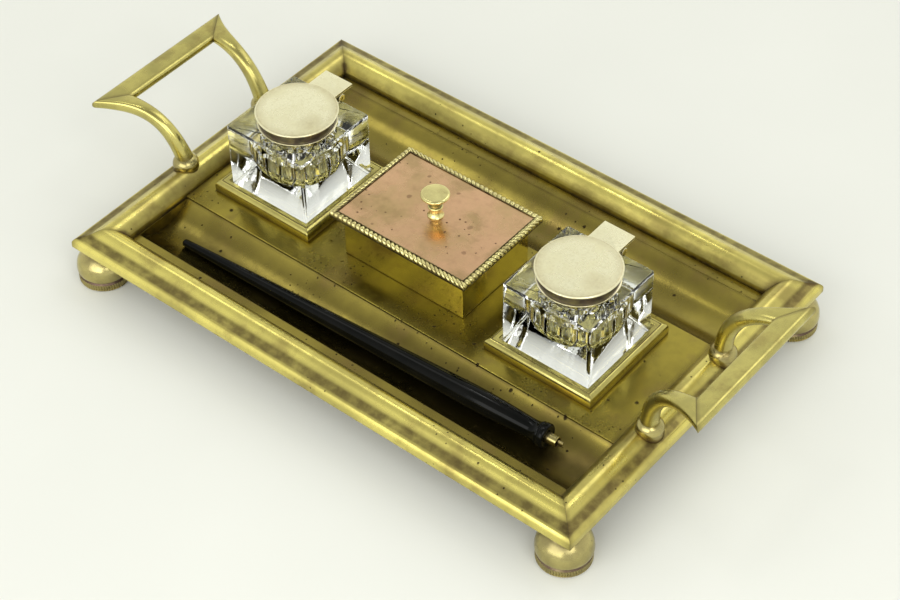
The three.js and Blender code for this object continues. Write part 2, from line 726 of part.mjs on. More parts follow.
// The brass tray of the lid, with a turned-down rim that locates it inside the box.
function lidBaseGeometry() {
  const edge = LID_HALF_Y - LID_BORDER;
  const rim = BOX_HALF_Y - BOX_WALL - 0.4;
  const low = LID_BOTTOM - LID_RIM_DEPTH;
  const tray = squareTurned([
    [0, LID_BOTTOM],
    [rim - 1, LID_BOTTOM],
    [rim - 1, low],
    [rim, low],
    [rim, LID_BOTTOM],
    [edge, LID_BOTTOM],
    [edge, LID_PANEL_BOTTOM],
    [0, LID_PANEL_BOTTOM],
  ], LID_HALF_X - LID_HALF_Y);
  return cut(tray, bar(STUD_RADIUS + STUD_CLEARANCE, LID_BOTTOM - 1, LID_PANEL_BOTTOM + 1));
}

function lidPanelGeometry() {
  const x = LID_HALF_X - LID_BORDER;
  const y = LID_HALF_Y - LID_BORDER;
  const sheet = box([-x, -y, LID_PANEL_BOTTOM], [x, y, LID_PANEL_TOP]);
  return cut(sheet, bar(STUD_RADIUS + STUD_CLEARANCE, LID_PANEL_BOTTOM - 1, LID_PANEL_TOP + 1));
}

function lidBorderGeometry() {
  const inner = LID_HALF_Y - LID_BORDER + 0.05;
  return squareTurned([
    [inner, LID_BOTTOM],
    [LID_HALF_Y - 1, LID_BOTTOM],
    [LID_HALF_Y, LID_BOTTOM + 0.9],
    [LID_HALF_Y, LID_BORDER_TOP - 1.1],
    [LID_HALF_Y - 1, LID_BORDER_TOP],
    [inner + 0.8, LID_BORDER_TOP],
    [inner, LID_BORDER_TOP - 0.7],
    [inner, LID_BOTTOM],
  ], LID_HALF_X - LID_HALF_Y);
}

// A flat-topped mushroom on a waisted stem, with a threaded tail through the lid.
function knobGeometry() {
  const foot = LID_PANEL_TOP;
  const top = foot + KNOB_HEIGHT;
  return turned([
    [0, LID_BOTTOM - 2.8],
    [STUD_RADIUS, LID_BOTTOM - 2.8],
    [STUD_RADIUS, foot],
    [3.9, foot],
    [3.9, foot + 0.8],
    [2.8, foot + 2.2],
    [2.5, foot + 4.4],
    [3.6, foot + 5.2],
    [3.6, foot + 6],
    [2.6, foot + 7],
    [3.4, foot + 9],
    [KNOB_RADIUS - 0.8, top - 2.6],
    [KNOB_RADIUS, top - 1.5],
    [KNOB_RADIUS - 0.5, top - 0.5],
    [KNOB_RADIUS - 1.6, top],
    [0, top],
  ], 16);
}

function knobNutGeometry() {
  const top = LID_BOTTOM - 0.05;
  const across = NUT_HALF_FLATS / Math.cos(Math.PI / 6);
  const bore = bar(STUD_RADIUS + STUD_CLEARANCE, top - NUT_HEIGHT - 1, top + 1);
  return cut(bar(across, top - NUT_HEIGHT, top, 6), bore);
}

function addStampBox() {
  const place = new THREE.Group();
  place.position.set(BOX_CENTRE.x, BOX_CENTRE.y, 0);
  group.add(place);
  add("stamp_box_body", boxBodyGeometry(), brass, place);
  add("stamp_box_lid_base", lidBaseGeometry(), brass, place);
  add("stamp_box_lid_panel", lidPanelGeometry(), copper, place);
  add("stamp_box_lid_border", lidBorderGeometry(), brass, place);
  add("stamp_box_lid_knob", knobGeometry(), brass, place);
  add("stamp_box_lid_nut", knobNutGeometry(), darkBrass, place);
}

// ---- pen ----

// The holder tapers from a swollen barrel to a thin tail and ends in a flared, hollow collar.
function penHolderGeometry(length) {
  const socket = FERRULE_RADIUS + STUD_CLEARANCE;
  const socketDepth = 6;
  const profile = [[0, 0], [PEN_TAIL_RADIUS * 0.7, 0.2]];
  const steps = 8;
  for (let i = 0; i <= steps; i += 1) {
    const share = i / steps;
    const radius = THREE.MathUtils.lerp(PEN_TAIL_RADIUS, PEN_BARREL_RADIUS, share ** 0.9);
    profile.push([radius, 1.5 + share * (length * 0.8 - 1.5)]);
  }
  profile.push([5.2, length * 0.9]);
  profile.push([5, length - 9]);
  profile.push([5.6, length - 4]);
  profile.push([PEN_COLLAR_RADIUS, length - 2]);
  profile.push([PEN_COLLAR_RADIUS, length - 0.9]);
  profile.push([PEN_COLLAR_RADIUS - 0.9, length]);
  profile.push([socket, length]);
  profile.push([socket, length - socketDepth]);
  profile.push([0, length - socketDepth]);
  return turned(profile, 14);
}

// The metal sleeve that grips the nib, and what is left of the nib's tongue in it.
function ferruleGeometry(length) {
  const start = length - 5.6;
  const end = length + FERRULE_LENGTH;
  return turned([
    [0, start],
    [FERRULE_RADIUS, start],
    [FERRULE_RADIUS, end],
    [FERRULE_RADIUS - 0.6, end],
    [FERRULE_RADIUS - 0.6, length],
    [0, length],
  ], 16);
}

function nibGeometry(length) {
  const start = length + 0.3;
  const end = length + FERRULE_LENGTH + NIB_LENGTH;
  return box([-1.4, -0.5, start], [1.4, 0.5, end]);
}

function addPen() {
  const axis = new THREE.Vector3().subVectors(PEN_HEAD, PEN_TAIL);
  const length = axis.length();
  const pen = new THREE.Group();
  pen.position.copy(PEN_TAIL);
  pen.quaternion.setFromUnitVectors(new THREE.Vector3(0, 0, 1), axis.normalize());
  group.add(pen);
  add("pen_holder", penHolderGeometry(length), ebonised, pen);
  add("pen_ferrule", ferruleGeometry(length), gilt, pen);
  add("pen_nib", nibGeometry(length), gilt, pen);
}

// ---- assembly ----

addRim();
addLinerAndPlatform();
addScrews();
addFeet();
addHandle("left", LEFT_HANDLE, Math.PI);
addHandle("right", RIGHT_HANDLE, 0);
addInkwell("left", LEFT_WELL);
addInkwell("right", RIGHT_WELL);
addStampBox();
addPen();

export default group;
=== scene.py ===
"""Looks for the brass inkstand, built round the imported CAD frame.

Shapes are worked out in millimetres in the tray's own frame, whose origin is on the table under
the middle of the rim, and are moved into the frame's metres when a piece is made.
"""

import bisect
import math
import random

import bmesh
import bpy
from mathutils import Matrix, Vector


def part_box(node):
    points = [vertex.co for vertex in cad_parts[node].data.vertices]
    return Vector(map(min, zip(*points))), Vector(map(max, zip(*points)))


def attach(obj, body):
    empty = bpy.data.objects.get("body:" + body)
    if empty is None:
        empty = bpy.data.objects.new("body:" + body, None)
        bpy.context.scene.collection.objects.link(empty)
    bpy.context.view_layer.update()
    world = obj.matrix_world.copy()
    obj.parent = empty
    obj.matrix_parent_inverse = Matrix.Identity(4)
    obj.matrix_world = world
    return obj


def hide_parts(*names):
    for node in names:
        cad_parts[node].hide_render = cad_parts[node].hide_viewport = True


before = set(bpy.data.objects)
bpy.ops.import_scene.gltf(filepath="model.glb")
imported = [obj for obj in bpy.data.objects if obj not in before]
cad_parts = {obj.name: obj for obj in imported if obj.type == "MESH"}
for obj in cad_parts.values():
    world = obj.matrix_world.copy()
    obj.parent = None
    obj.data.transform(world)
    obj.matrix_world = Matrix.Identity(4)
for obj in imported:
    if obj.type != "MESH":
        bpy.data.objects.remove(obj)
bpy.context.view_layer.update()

MM = 0.001


def middle(node):
    """The middle of a CAD node's box, in millimetres."""
    low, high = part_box(node)
    return (low + high) / 2 / MM


SHIFT_X = middle("rim_front").x


def tray_middle(node):
    """Where a node stands on the table, in the tray's own frame."""
    spot = middle(node)
    return Vector((spot.x - SHIFT_X, spot.y, 0))


# ---- sizes, in millimetres ----

RIM_LENGTH = 300
RIM_DEPTH = 198
RAIL_WIDTH = 19.6
RAIL_UNDERSIDE = 19.8
RAIL_CREST = 29.6
RAIL_WALL = 3.2
RAIL_ROOF = 24.8
MITRE_GAP = 0.06

INSIDE_X = RIM_LENGTH / 2 - RAIL_WIDTH
INSIDE_Y = RIM_DEPTH / 2 - RAIL_WIDTH
LINER_TOP = 21
LINER_SHEET = 0.9
LINER_GAP = 0.15
TROUGH_DEPTH = 7
FLANGE_WIDTH = 6
PLATFORM_FRONT = -40
PLATFORM_BACK = 36
PLATFORM_TOP = 22

FOOT_RADIUS = 13.2
FOOT_BASE_RADIUS = 12.9
FOOT_NECK_RADIUS = 7
FOOT_FLUTES = 60

BOSS_INSET = 9.6
BOSS_Y = 28.4
BOSS_RADIUS = 6.6
BOSS_HEIGHT = 6
ARM_SEAT = 3
ARM_FOOT_RADIUS = 4.4
ARM_FLARE = 3
ARM_FLATTEN = 1.6
ARM_START_PULL = 0.5
ARM_END_PULL = 0.36
GRIP_HALF_OUTER = 45.4
GRIP_WIDTH = 12
GRIP_THICKNESS = 4.6
HANDLE_MITRE_GAP = 0.07
HANDLES = {
    "left": {"reach": 184.6, "top": 58, "tilt": 0, "lean": 70, "turn": math.pi},
    "right": {"reach": 174.5, "top": 68.3, "tilt": 14, "lean": 92, "turn": 0},
}

GALLERY_HALF = 30.4
GALLERY_HEIGHT = 6
GALLERY_FLOOR = 1.5
GLASS_HALF = 24.65
GLASS_GAP = 0.4
GLASS_CHAMFER = 1.3
GLASS_EDGE = 0.9
GLASS_TOP = 62.7
GLASS_BOTTOM = 23.62
NECK_RADIUS = 15.4
NECK_TOP = 66
MOUTH_RADIUS = 12.6
WELL_RADIUS = 16.3
WELL_FLOOR = 36
THROAT_BOTTOM = 61
SHOULDER_BOTTOM = 55.6
FLUTE_TOP = 54.5
FLUTE_ARCH = 6
WELL_FLUTES = 10
FLUTE_DEPTH = 1.9
FLUTE_STEPS = 20

COLLAR_RADIUS = 18.6
COLLAR_FLANGE_RADIUS = 19.6
COLLAR_BOTTOM = 62.8
COLLAR_TOP = 68.3
CAP_RADIUS = 20.3
CAP_BOTTOM = 68.5
CAP_TOP = 69.9
HINGE_Y = 23.2
HINGE_Z = 65.4
KNUCKLE_RADIUS = 2.1
KNUCKLE_SPLIT = 4.3
TAB_HALF = 8.4
TAB_REACH = 31
TAB_SHEET = 1.7

BOX_HALF_X = 35.9
BOX_HALF_Y = 24.8
BOX_WALL = 1.5
BOX_TOP = 46.4
LID_HALF_X = 41
LID_HALF_Y = 29.9
LID_BORDER = 3.4
LID_BOTTOM = 46.6
LID_PANEL_BOTTOM = 48
LID_PANEL_TOP = 49.3
LID_RIM_DEPTH = 4.6
ROPE_RADIUS = 1.62
ROPE_PITCH = 2.7
ROPE_TWIST = 2
KNOB_HEIGHT = 13.9
KNOB_RADIUS = 7

PEN_TAIL = Vector((-112.8, -60.5, 16.5))
PEN_HEAD = Vector((104.6, -54.4, 21))
PEN_TAIL_RADIUS = 1.9
PEN_BARREL_RADIUS = 5.7
PEN_COLLAR_RADIUS = 6.1
FERRULE_RADIUS = 2.6
FERRULE_LENGTH = 5.2
NIB_LENGTH = 3

EASED_EDGE = 0.2
MERGE_DISTANCE = 2e-7
ROUND_STEPS = 96
FINE_STEPS = 128

# ---- profiles ----


def curve(start, control, end, steps=10):
    """Points of a quadratic curve, without its first one."""
    points = []
    for i in range(1, steps + 1):
        t = i / steps
        a, b, c = (1 - t) ** 2, 2 * t * (1 - t), t * t
        points.append(tuple(a * p + b * q + c * r for p, q, r in zip(start, control, end)))
    return points


def fillet(points, radius=0.3, steps=3, closed=False):
    """The same path with its corners rounded. A third number at a point is that corner's own radius."""
    made = []
    count = len(points)
    for i, point in enumerate(points):
        here = Vector(point[:2])
        if not closed and i in (0, count - 1):
            made.append(tuple(here))
            continue
        before = Vector(points[i - 1][:2]) - here
        after = Vector(points[(i + 1) % count][:2]) - here
        size = point[2] if len(point) > 2 else radius
        size = min(size, before.length * 0.45, after.length * 0.45)
        if size < 0.01:
            made.append(tuple(here))
            continue
        start = here + before.normalized() * size
        end = here + after.normalized() * size
        made.append(tuple(start))
        made.extend(curve(start, here, end, steps))
    return made


def spline(points, steps=6):
    """A smooth path through every point."""
    spots = [Vector(p) for p in points]
    spots = [spots[0] * 2 - spots[1]] + spots + [spots[-1] * 2 - spots[-2]]
    made = [tuple(spots[1])]
    for i in range(1, len(spots) - 2):
        p, q, r, s = spots[i - 1:i + 3]
        for k in range(1, steps + 1):
            t = k / steps
            spot = q * 2 + (r - p) * t + (p * 2 - q * 5 + r * 4 - s) * t ** 2
            spot += (q * 3 - p - r * 3 + s) * t ** 3
            made.append(tuple(spot / 2))
    return made


# ---- mesh code ----


class Shape:
    """Vertices with a tone each, which paints tarnish and shade, and faces."""

    def __init__(self):
        self.points = []
        self.tones = []
        self.faces = []

    def ring(self, points, tone=0.0):
        start = len(self.points)
        self.points.extend(Vector(p) for p in points)
        self.tones.extend([tone] * (len(self.points) - start))
        return list(range(start, len(self.points)))

    def bridge(self, low, high):
        count = len(low)
        for i in range(count):
            k = (i + 1) % count
            self.faces.append((low[i], low[k], high[k], high[i]))

    def skin(self, rings, closed=False):
        for low, high in zip(rings, rings[1:]):
            self.bridge(low, high)
        if closed:
            self.bridge(rings[-1], rings[0])

    def cap(self, ring):
        self.faces.append(tuple(ring))

    def tube(self, rings):
        """Skins the rings and closes both ends."""
        self.skin(rings)
        self.cap(rings[0])
        self.cap(rings[-1])

    def add(self, other):
        start = len(self.points)
        self.points.extend(other.points)
        self.tones.extend(other.tones)
        self.faces.extend(tuple(i + start for i in face) for face in other.faces)
        return self

    def moved(self, matrix):
        self.points = [matrix @ p for p in self.points]
        return self


def lathe(profile, steps=ROUND_STEPS, closed=False, radius_at=None, tone_at=None):
    """A profile of (radius, height) turned about Z. radius_at bends it; tone_at darkens it."""
    shape = Shape()
    rings = []
    for radius, height in profile:
        points = []
        for i in range(steps):
            angle = 2 * math.pi * i / steps
            r = radius_at(radius, height, angle) if radius_at else radius
            points.append((r * math.cos(angle), r * math.sin(angle), height))
        rings.append(shape.ring(points, tone_at(radius, height) if tone_at else 0.0))
    shape.skin(rings, closed)
    return shape


def rounded_loop(half_x, half_y, radius, steps=4):
    """A rectangle with rounded corners, as (x, y) points."""
    points = []
    for quarter, (sx, sy) in enumerate([(1, 1), (-1, 1), (-1, -1), (1, -1)]):
        for i in range(steps + 1):
            angle = math.pi / 2 * (quarter + i / steps)
            x = sx * (half_x - radius) + radius * math.cos(angle)
            y = sy * (half_y - radius) + radius * math.sin(angle)
            points.append((x, y))
    return points


def square_sweep(profile, extra_x=0.0, radius=0.12, closed=False, caps=(), tone_at=None):
    """A profile of (half width, height) swept round a rectangle with nearly sharp mitred corners."""
    shape = Shape()
    rings = []
    for half, height in profile:
        size = min(radius, half * 0.9)
        loop = rounded_loop(half + extra_x, half, size)
        tone = tone_at(half, height) if tone_at else 0
        rings.append(shape.ring([(x, y, height) for x, y in loop], tone))
    shape.skin(rings, closed)
    for index in caps:
        shape.cap(rings[index])
    return shape


def slab(low, high, edge=0.25):
    """A block with rounded edges all round."""
    half_x, half_y = (high[0] - low[0]) / 2, (high[1] - low[1]) / 2
    profile = fillet([(0, low[2]), (half_y, low[2]), (half_y, high[2]), (0, high[2])], edge)
    profile = profile[1:-1]
    shape = square_sweep(profile, half_x - half_y, edge, caps=(0, -1))
    middle_x, middle_y = (high[0] + low[0]) / 2, (high[1] + low[1]) / 2
    return shape.moved(Matrix.Translation((middle_x, middle_y, 0)))


def make(name, shape, material, body, replaces=(), sharp=32, eased=None):
    """Makes the piece from a shape in tray millimetres and ties it to the frame.
    eased says from an edge's two ends, in tray millimetres, whether it is rounded."""
    mesh = bpy.data.meshes.new(name)
    box = bmesh.new()
    tone = box.verts.layers.float.new("tone")
    corners = []
    for point, value in zip(shape.points, shape.tones):
        corner = box.verts.new(((point.x + SHIFT_X) * MM, point.y * MM, point.z * MM))
        corner[tone] = value
        corners.append(corner)
    for face in shape.faces:
        made = box.faces.new([corners[i] for i in face])
        made.smooth = True
    bmesh.ops.remove_doubles(box, verts=box.verts, dist=MERGE_DISTANCE)
    bmesh.ops.dissolve_degenerate(box, edges=box.edges, dist=1e-7)
    bmesh.ops.recalc_face_normals(box, faces=box.faces)
    if eased:
        shift = Vector((SHIFT_X, 0, 0))
        edges = [e for e in box.edges if eased(*(v.co / MM - shift for v in e.verts))]
        bmesh.ops.bevel(box, geom=edges, offset=EASED_EDGE * MM, segments=2, profile=0.5, affect="EDGES")
        for face in box.faces:
            face.smooth = True
    box.to_mesh(mesh)
    box.free()
    mesh.set_sharp_from_angle(angle=math.radians(sharp))
    piece = bpy.data.objects.new(name, mesh)
    bpy.context.scene.collection.objects.link(piece)
    mesh.materials.append(material)
    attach(piece, body)
    if replaces:
        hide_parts(*replaces)
    return piece


# ---- materials ----


class Look:
    """A procedural material being put together. Lengths in its patterns are millimetres."""

    def __init__(self, name):
        self.material = bpy.data.materials.new(name)
        self.material.use_nodes = True
        self.tree = self.material.node_tree
        self.shader = self.tree.nodes["Principled BSDF"]
        self.place = self.node("ShaderNodeTexCoord").outputs["Object"]

    def node(self, kind, **settings):
        made = self.tree.nodes.new(kind)
        for key, value in settings.items():
            setattr(made, key, value)
        return made

    def feed(self, socket, value):
        if isinstance(value, bpy.types.NodeSocket):
            self.tree.links.new(value, socket)
        else:
            socket.default_value = value

    def set(self, **values):
        for key, value in values.items():
            self.feed(self.shader.inputs[key.replace("_", " ")], value)

    def stretched(self, x, y, z):
        made = self.node("ShaderNodeVectorMath", operation="MULTIPLY")
        self.feed(made.inputs[0], self.place)
        made.inputs[1].default_value = (x, y, z)
        return made.outputs[0]

    def noise(self, size, detail=3.0, roughness=0.55, place=None):
        """Smooth noise whose blotches are about this many millimetres."""
        made = self.node("ShaderNodeTexNoise")
        self.feed(made.inputs["Vector"], place or self.place)
        made.inputs["Scale"].default_value = 1 / (size * MM)
        made.inputs["Detail"].default_value = detail
        made.inputs["Roughness"].default_value = roughness
        return made.outputs["Fac"]

    def ramp(self, value, low, high, to_low=0.0, to_high=1.0):
        made = self.node("ShaderNodeMapRange", interpolation_type="SMOOTHSTEP")
        self.feed(made.inputs["Value"], value)
        self.feed(made.inputs["From Min"], low)
        self.feed(made.inputs["From Max"], high)
        self.feed(made.inputs["To Min"], to_low)
        self.feed(made.inputs["To Max"], to_high)
        return made.outputs["Result"]

    def math(self, operation, a, b=0.0, clamp=False):
        made = self.node("ShaderNodeMath", operation=operation, use_clamp=clamp)
        self.feed(made.inputs[0], a)
        self.feed(made.inputs[1], b)
        return made.outputs[0]

    def blend(self, factor, a, b):
        made = self.node("ShaderNodeMix", data_type="RGBA")
        self.feed(made.inputs["Factor"], factor)
        self.feed(made.inputs[6], (*a, 1) if isinstance(a, tuple) else a)
        self.feed(made.inputs[7], (*b, 1) if isinstance(b, tuple) else b)
        return made.outputs[2]

    def tone(self):
        return self.node("ShaderNodeAttribute", attribute_name="tone").outputs["Fac"]

    def nearness(self, centre, near, far):
        """1 within near millimetres of a place in the tray, falling to 0 at far."""
        made = self.node("ShaderNodeVectorMath", operation="DISTANCE")
        self.feed(made.inputs[0], self.place)
        made.inputs[1].default_value = (centre + Vector((SHIFT_X, 0, 0))) * MM
        return self.ramp(made.outputs["Value"], near * MM, far * MM, 1.0, 0.0)

    def specks(self, cell, size, share, patch=26.0, spread=0.12, flat=False):
        """Round spots up to this size, in this share of the cells, gathered in patches.
        A level sheet takes flat ones, laid out in X and Y only."""
        dimensions = "2D" if flat else "3D"
        made = self.node("ShaderNodeTexVoronoi", feature="F1", voronoi_dimensions=dimensions)
        wobble = self.node("ShaderNodeVectorMath", operation="MULTIPLY_ADD")
        shake = self.node("ShaderNodeTexNoise")
        self.feed(shake.inputs["Vector"], self.place)
        shake.inputs["Scale"].default_value = 1 / (size * 0.9 * MM)
        self.feed(wobble.inputs[0], shake.outputs["Color"])
        wobble.inputs[1].default_value = (size * 0.55 * MM,) * 3
        self.feed(wobble.inputs[2], self.place)
        self.feed(made.inputs["Vector"], wobble.outputs[0])
        made.inputs["Scale"].default_value = 1 / (cell * MM)
        chance = self.node("ShaderNodeSeparateColor")
        self.feed(chance.inputs[0], made.outputs["Color"])
        crowd = self.ramp(self.noise(patch, 2), 0.55 - spread, 0.55 + spread)
        limit = self.math("SUBTRACT", 1.0, self.math("MULTIPLY", crowd, share))
        radius = self.ramp(chance.outputs[0], limit, 1.0, 0.0, size / cell / 2)
        inner = self.math("MULTIPLY", radius, 0.55)
        spot = self.ramp(made.outputs["Distance"], inner, self.math("ADD", radius, 0.0005), 1.0, 0.0)
        present = self.math("GREATER_THAN", radius, 0.02)
        return self.math("MULTIPLY", spot, present)

    def bump(self, height, depth, strength=1.0, after=None):
        """A bump whose height runs over this many millimetres."""
        made = self.node("ShaderNodeBump")
        made.inputs["Distance"].default_value = depth * MM
        made.inputs["Strength"].default_value = strength
        self.feed(made.inputs["Height"], height)
        if after is not None:
            self.feed(made.inputs["Normal"], after)
        return made.outputs[0]


PIT_COLOUR = (0.035, 0.024, 0.012)
PATINA_COLOUR = (0.24, 0.165, 0.06)


def brass(name, bright, dull, tarnish_and_shade, rough=(0.2, 0.34), pits=0.16, clouds=34, grain=None, flat=False):
    """Antique brass: cloudy polish, tarnish and painted shade where the tone says, dark pits and fine
    polishing marks.
    """
    look = Look(name)
    cloud = look.ramp(look.noise(clouds, 3, 0.5), 0.34, 0.68)
    mottle = look.ramp(look.noise(4.2, 4, 0.6), 0.44, 0.76)
    colour = look.blend(cloud, bright, dull)
    colour = look.blend(look.math("MULTIPLY", mottle, 0.14), colour, tarnish_and_shade)
    patina = look.ramp(look.noise(21, 4, 0.6), 0.5, 0.68)
    colour = look.blend(look.math("MULTIPLY", patina, 0.42), colour, PATINA_COLOUR)
    edge_noise = look.ramp(look.noise(5.5, 3, 0.6), 0.25, 0.75, -0.2, 0.2)
    # The tone paints tarnish and painted shade; edge noise breaks up its edges.
    shade = look.math("ADD", look.tone(), look.math("MULTIPLY", edge_noise, look.tone()), clamp=True)
    colour = look.blend(shade, colour, tarnish_and_shade)
    small = look.specks(3.4, 1.2, pits, 30, 0.07, flat)
    large = look.specks(10, 2.4, pits, 46, 0.09, flat)
    spots = look.math("MAXIMUM", small, large)
    colour = look.blend(look.math("MULTIPLY", spots, 0.92), colour, PIT_COLOUR)
    base = look.ramp(cloud, 0, 1, rough[0], rough[1])
    base = look.math("ADD", base, look.math("MULTIPLY", mottle, 0.05))
    base = look.math("ADD", base, look.math("MULTIPLY", shade, 0.22))
    base = look.math("ADD", base, look.math("MULTIPLY", spots, 0.35), clamp=True)
    marks = look.noise(0.9, 3, 0.6, look.stretched(*(grain or (1, 1, 1))))
    ripple = look.noise(16, 2, 0.5)
    normal = look.bump(marks, 0.0022)
    normal = look.bump(ripple, 0.03, 1.0, normal)
    normal = look.bump(look.math("SUBTRACT", 1.0, spots), 0.04, 0.8, normal)
    look.set(Base_Color=colour, Metallic=1.0, Roughness=base, Normal=normal)
    return look.material


def pale_floor():
    """Matt off-white paper with a faint tooth."""
    look = Look("pale_floor")
    cloud = look.noise(180, 3)
    colour = look.blend(look.ramp(cloud, 0.3, 0.7), (0.775, 0.78, 0.74), (0.795, 0.80, 0.76))
    paper = look.bump(look.noise(1.2, 3), 0.02)
    look.set(Base_Color=colour, Roughness=0.75, Normal=paper)
    look.shader.inputs["Specular IOR Level"].default_value = 0.25
    return look.material


def cap_plate():
    """Thin silver gilt, worn at the rim, with painted shade on its underside, and pitted in one patch."""
    look = Look("cap_silver_gilt")
    cloud = look.ramp(look.noise(17, 4, 0.6), 0.32, 0.7)
    fine = look.ramp(look.noise(1.3, 4, 0.7), 0.45, 0.7)
    colour = look.blend(cloud, (0.97, 0.93, 0.66), (0.88, 0.83, 0.55))
    shade = look.math("MULTIPLY", look.tone(), look.ramp(look.noise(2.4, 4, 0.7), 0.2, 0.75, 0.45, 1.0))
    colour = look.blend(shade, colour, (0.42, 0.34, 0.17))
    colour = look.blend(look.math("MULTIPLY", fine, 0.16), colour, (0.50, 0.41, 0.20))
    spots = look.specks(2.6, 0.5, 0.16, 12)
    colour = look.blend(look.math("MULTIPLY", spots, 0.7), colour, (0.20, 0.14, 0.06))
    rough = look.math("ADD", look.ramp(cloud, 0, 1, 0.24, 0.34), look.math("MULTIPLY", shade, 0.2))
    dents = look.bump(look.noise(1.1, 4, 0.7), 0.005)
    dents = look.bump(look.math("MULTIPLY", look.noise(1.8, 3), shade), 0.12, 1.0, dents)
    look.set(Base_Color=colour, Metallic=0.9, Roughness=rough, Normal=dents)
    return look.material


def collar_plate():
    """Dark, almost purple tarnish on plate, rubbed bright on the flange."""
    look = Look("collar_tarnish")
    cloud = look.ramp(look.noise(7, 4, 0.6), 0.35, 0.65)
    dark = look.blend(cloud, (0.155, 0.12, 0.105), (0.25, 0.22, 0.13))
    colour = look.blend(look.tone(), (0.80, 0.74, 0.50), dark)
    spots = look.specks(2.2, 0.6, 0.2, 14)
    colour = look.blend(look.math("MULTIPLY", spots, 0.7), colour, PIT_COLOUR)
    rough = look.ramp(look.tone(), 0, 1, 0.24, 0.3)
    grain = look.bump(look.noise(0.8, 3), 0.01)
    look.set(Base_Color=colour, Metallic=1.0, Roughness=rough, Normal=grain)
    return look.material


def rubbed_copper():
    """Rose copper, hand rubbed, with brown spots and a faint olive tint round the knob."""
    look = Look("rubbed_copper")
    cloud = look.ramp(look.noise(30, 4, 0.6), 0.34, 0.66)
    fine = look.ramp(look.noise(4.5, 4, 0.7), 0.45, 0.78)
    colour = look.blend(cloud, (0.74, 0.46, 0.27), (0.58, 0.40, 0.20))
    colour = look.blend(look.math("MULTIPLY", fine, 0.3), colour, (0.46, 0.24, 0.15))
    # Tints the copper olive in a ring round the knob.
    knob_tint = look.math("MULTIPLY", look.nearness(tray_middle("stamp_box_lid_knob"), 7, 21), 0.75)
    knob_tint = look.math("MULTIPLY", knob_tint, look.ramp(look.noise(13, 3, 0.6), 0.4, 0.62))
    colour = look.blend(knob_tint, colour, (0.46, 0.42, 0.15))
    stain_and_shade = look.ramp(look.noise(17, 4, 0.6), 0.48, 0.66)
    colour = look.blend(look.math("MULTIPLY", stain_and_shade, 0.5), colour, (0.38, 0.27, 0.12))
    small = look.specks(3.4, 1.4, 0.6, 20, 0.1, flat=True)
    large = look.specks(9, 3.4, 0.6, 24, 0.1, flat=True)
    spots = look.math("MAXIMUM", small, look.math("MULTIPLY", large, 0.55))
    colour = look.blend(look.math("MULTIPLY", spots, 0.85), colour, (0.13, 0.06, 0.035))
    rough = look.math("ADD", look.ramp(cloud, 0, 1, 0.24, 0.32), look.math("MULTIPLY", spots, 0.2))
    marks = look.bump(look.noise(0.7, 3, 0.6, look.stretched(1, 6, 1)), 0.012)
    marks = look.bump(look.noise(18, 2), 0.08, 1.0, marks)
    look.set(Base_Color=colour, Metallic=1.0, Roughness=rough, Normal=marks)
    return look.material


def cut_glass():
    """Clear glass with a faint green cast, polish ripples and slightly dull patches."""
    look = Look("cut_crystal")
    smear = look.noise(9, 3)
    colour = look.blend(look.ramp(smear, 0.3, 0.7), (0.985, 0.995, 0.985), (0.965, 0.985, 0.965))
    polish = look.bump(look.noise(5, 3), 0.035, 0.8)
    rough_map = look.ramp(look.noise(3.5, 4, 0.7), 0.4, 0.8, 0.0, 0.03)
    look.set(Base_Color=colour, Roughness=rough_map, Normal=polish)
    look.shader.inputs["IOR"].default_value = 1.52
    look.shader.inputs["Transmission Weight"].default_value = 1.0
    return look.material


def ebonised():
    """Glossy black holder with faint turning marks, hairline scratches and dust."""
    look = Look("black_ebonite")
    cloud = look.ramp(look.noise(14, 4), 0.35, 0.7)
    dust = look.specks(2.4, 0.25, 0.25, 16)
    colour = look.blend(cloud, (0.0022, 0.0025, 0.0022), (0.0045, 0.0045, 0.004))
    colour = look.blend(look.math("MULTIPLY", dust, 0.4), colour, (0.12, 0.11, 0.09))
    rough = look.ramp(look.noise(4, 4, 0.7, look.stretched(0.12, 1, 1)), 0.35, 0.75, 0.05, 0.13)
    marks = look.bump(look.noise(0.8, 3, 0.6, look.stretched(0.1, 1, 1)), 0.002)
    look.set(Base_Color=colour, Roughness=rough, Normal=marks)
    look.shader.inputs["Specular IOR Level"].default_value = 0.11
    return look.material


ALONG_X = (0.06, 1, 1)
ALONG_Y = (1, 0.06, 1)
RIM_COLOURS = ((0.86, 0.75, 0.21), (0.60, 0.52, 0.15), (0.12, 0.09, 0.035))
# The short end rails take a darker copy of the rim brass: painted shade.
SIDE_RIM_PAINTED_SHADE_COLOURS = ((0.76, 0.66, 0.19), (0.53, 0.455, 0.14), (0.12, 0.085, 0.035))
BOX_COLOURS = ((0.62, 0.56, 0.22), (0.45, 0.40, 0.16), (0.12, 0.09, 0.035))
LINER_COLOURS = ((0.36, 0.29, 0.062), (0.19, 0.15, 0.035), (0.06, 0.044, 0.02))
TRAY_COLOURS = ((0.42, 0.34, 0.062), (0.25, 0.20, 0.04), (0.075, 0.055, 0.02))
HAND_COLOURS = ((0.60, 0.53, 0.17), (0.44, 0.39, 0.13), (0.15, 0.11, 0.055))
FOOT_COLOURS = ((0.53, 0.46, 0.18), (0.36, 0.31, 0.13), (0.12, 0.08, 0.06))
ROPE_COLOURS = ((0.84, 0.76, 0.34), (0.66, 0.58, 0.26), (0.10, 0.075, 0.035))

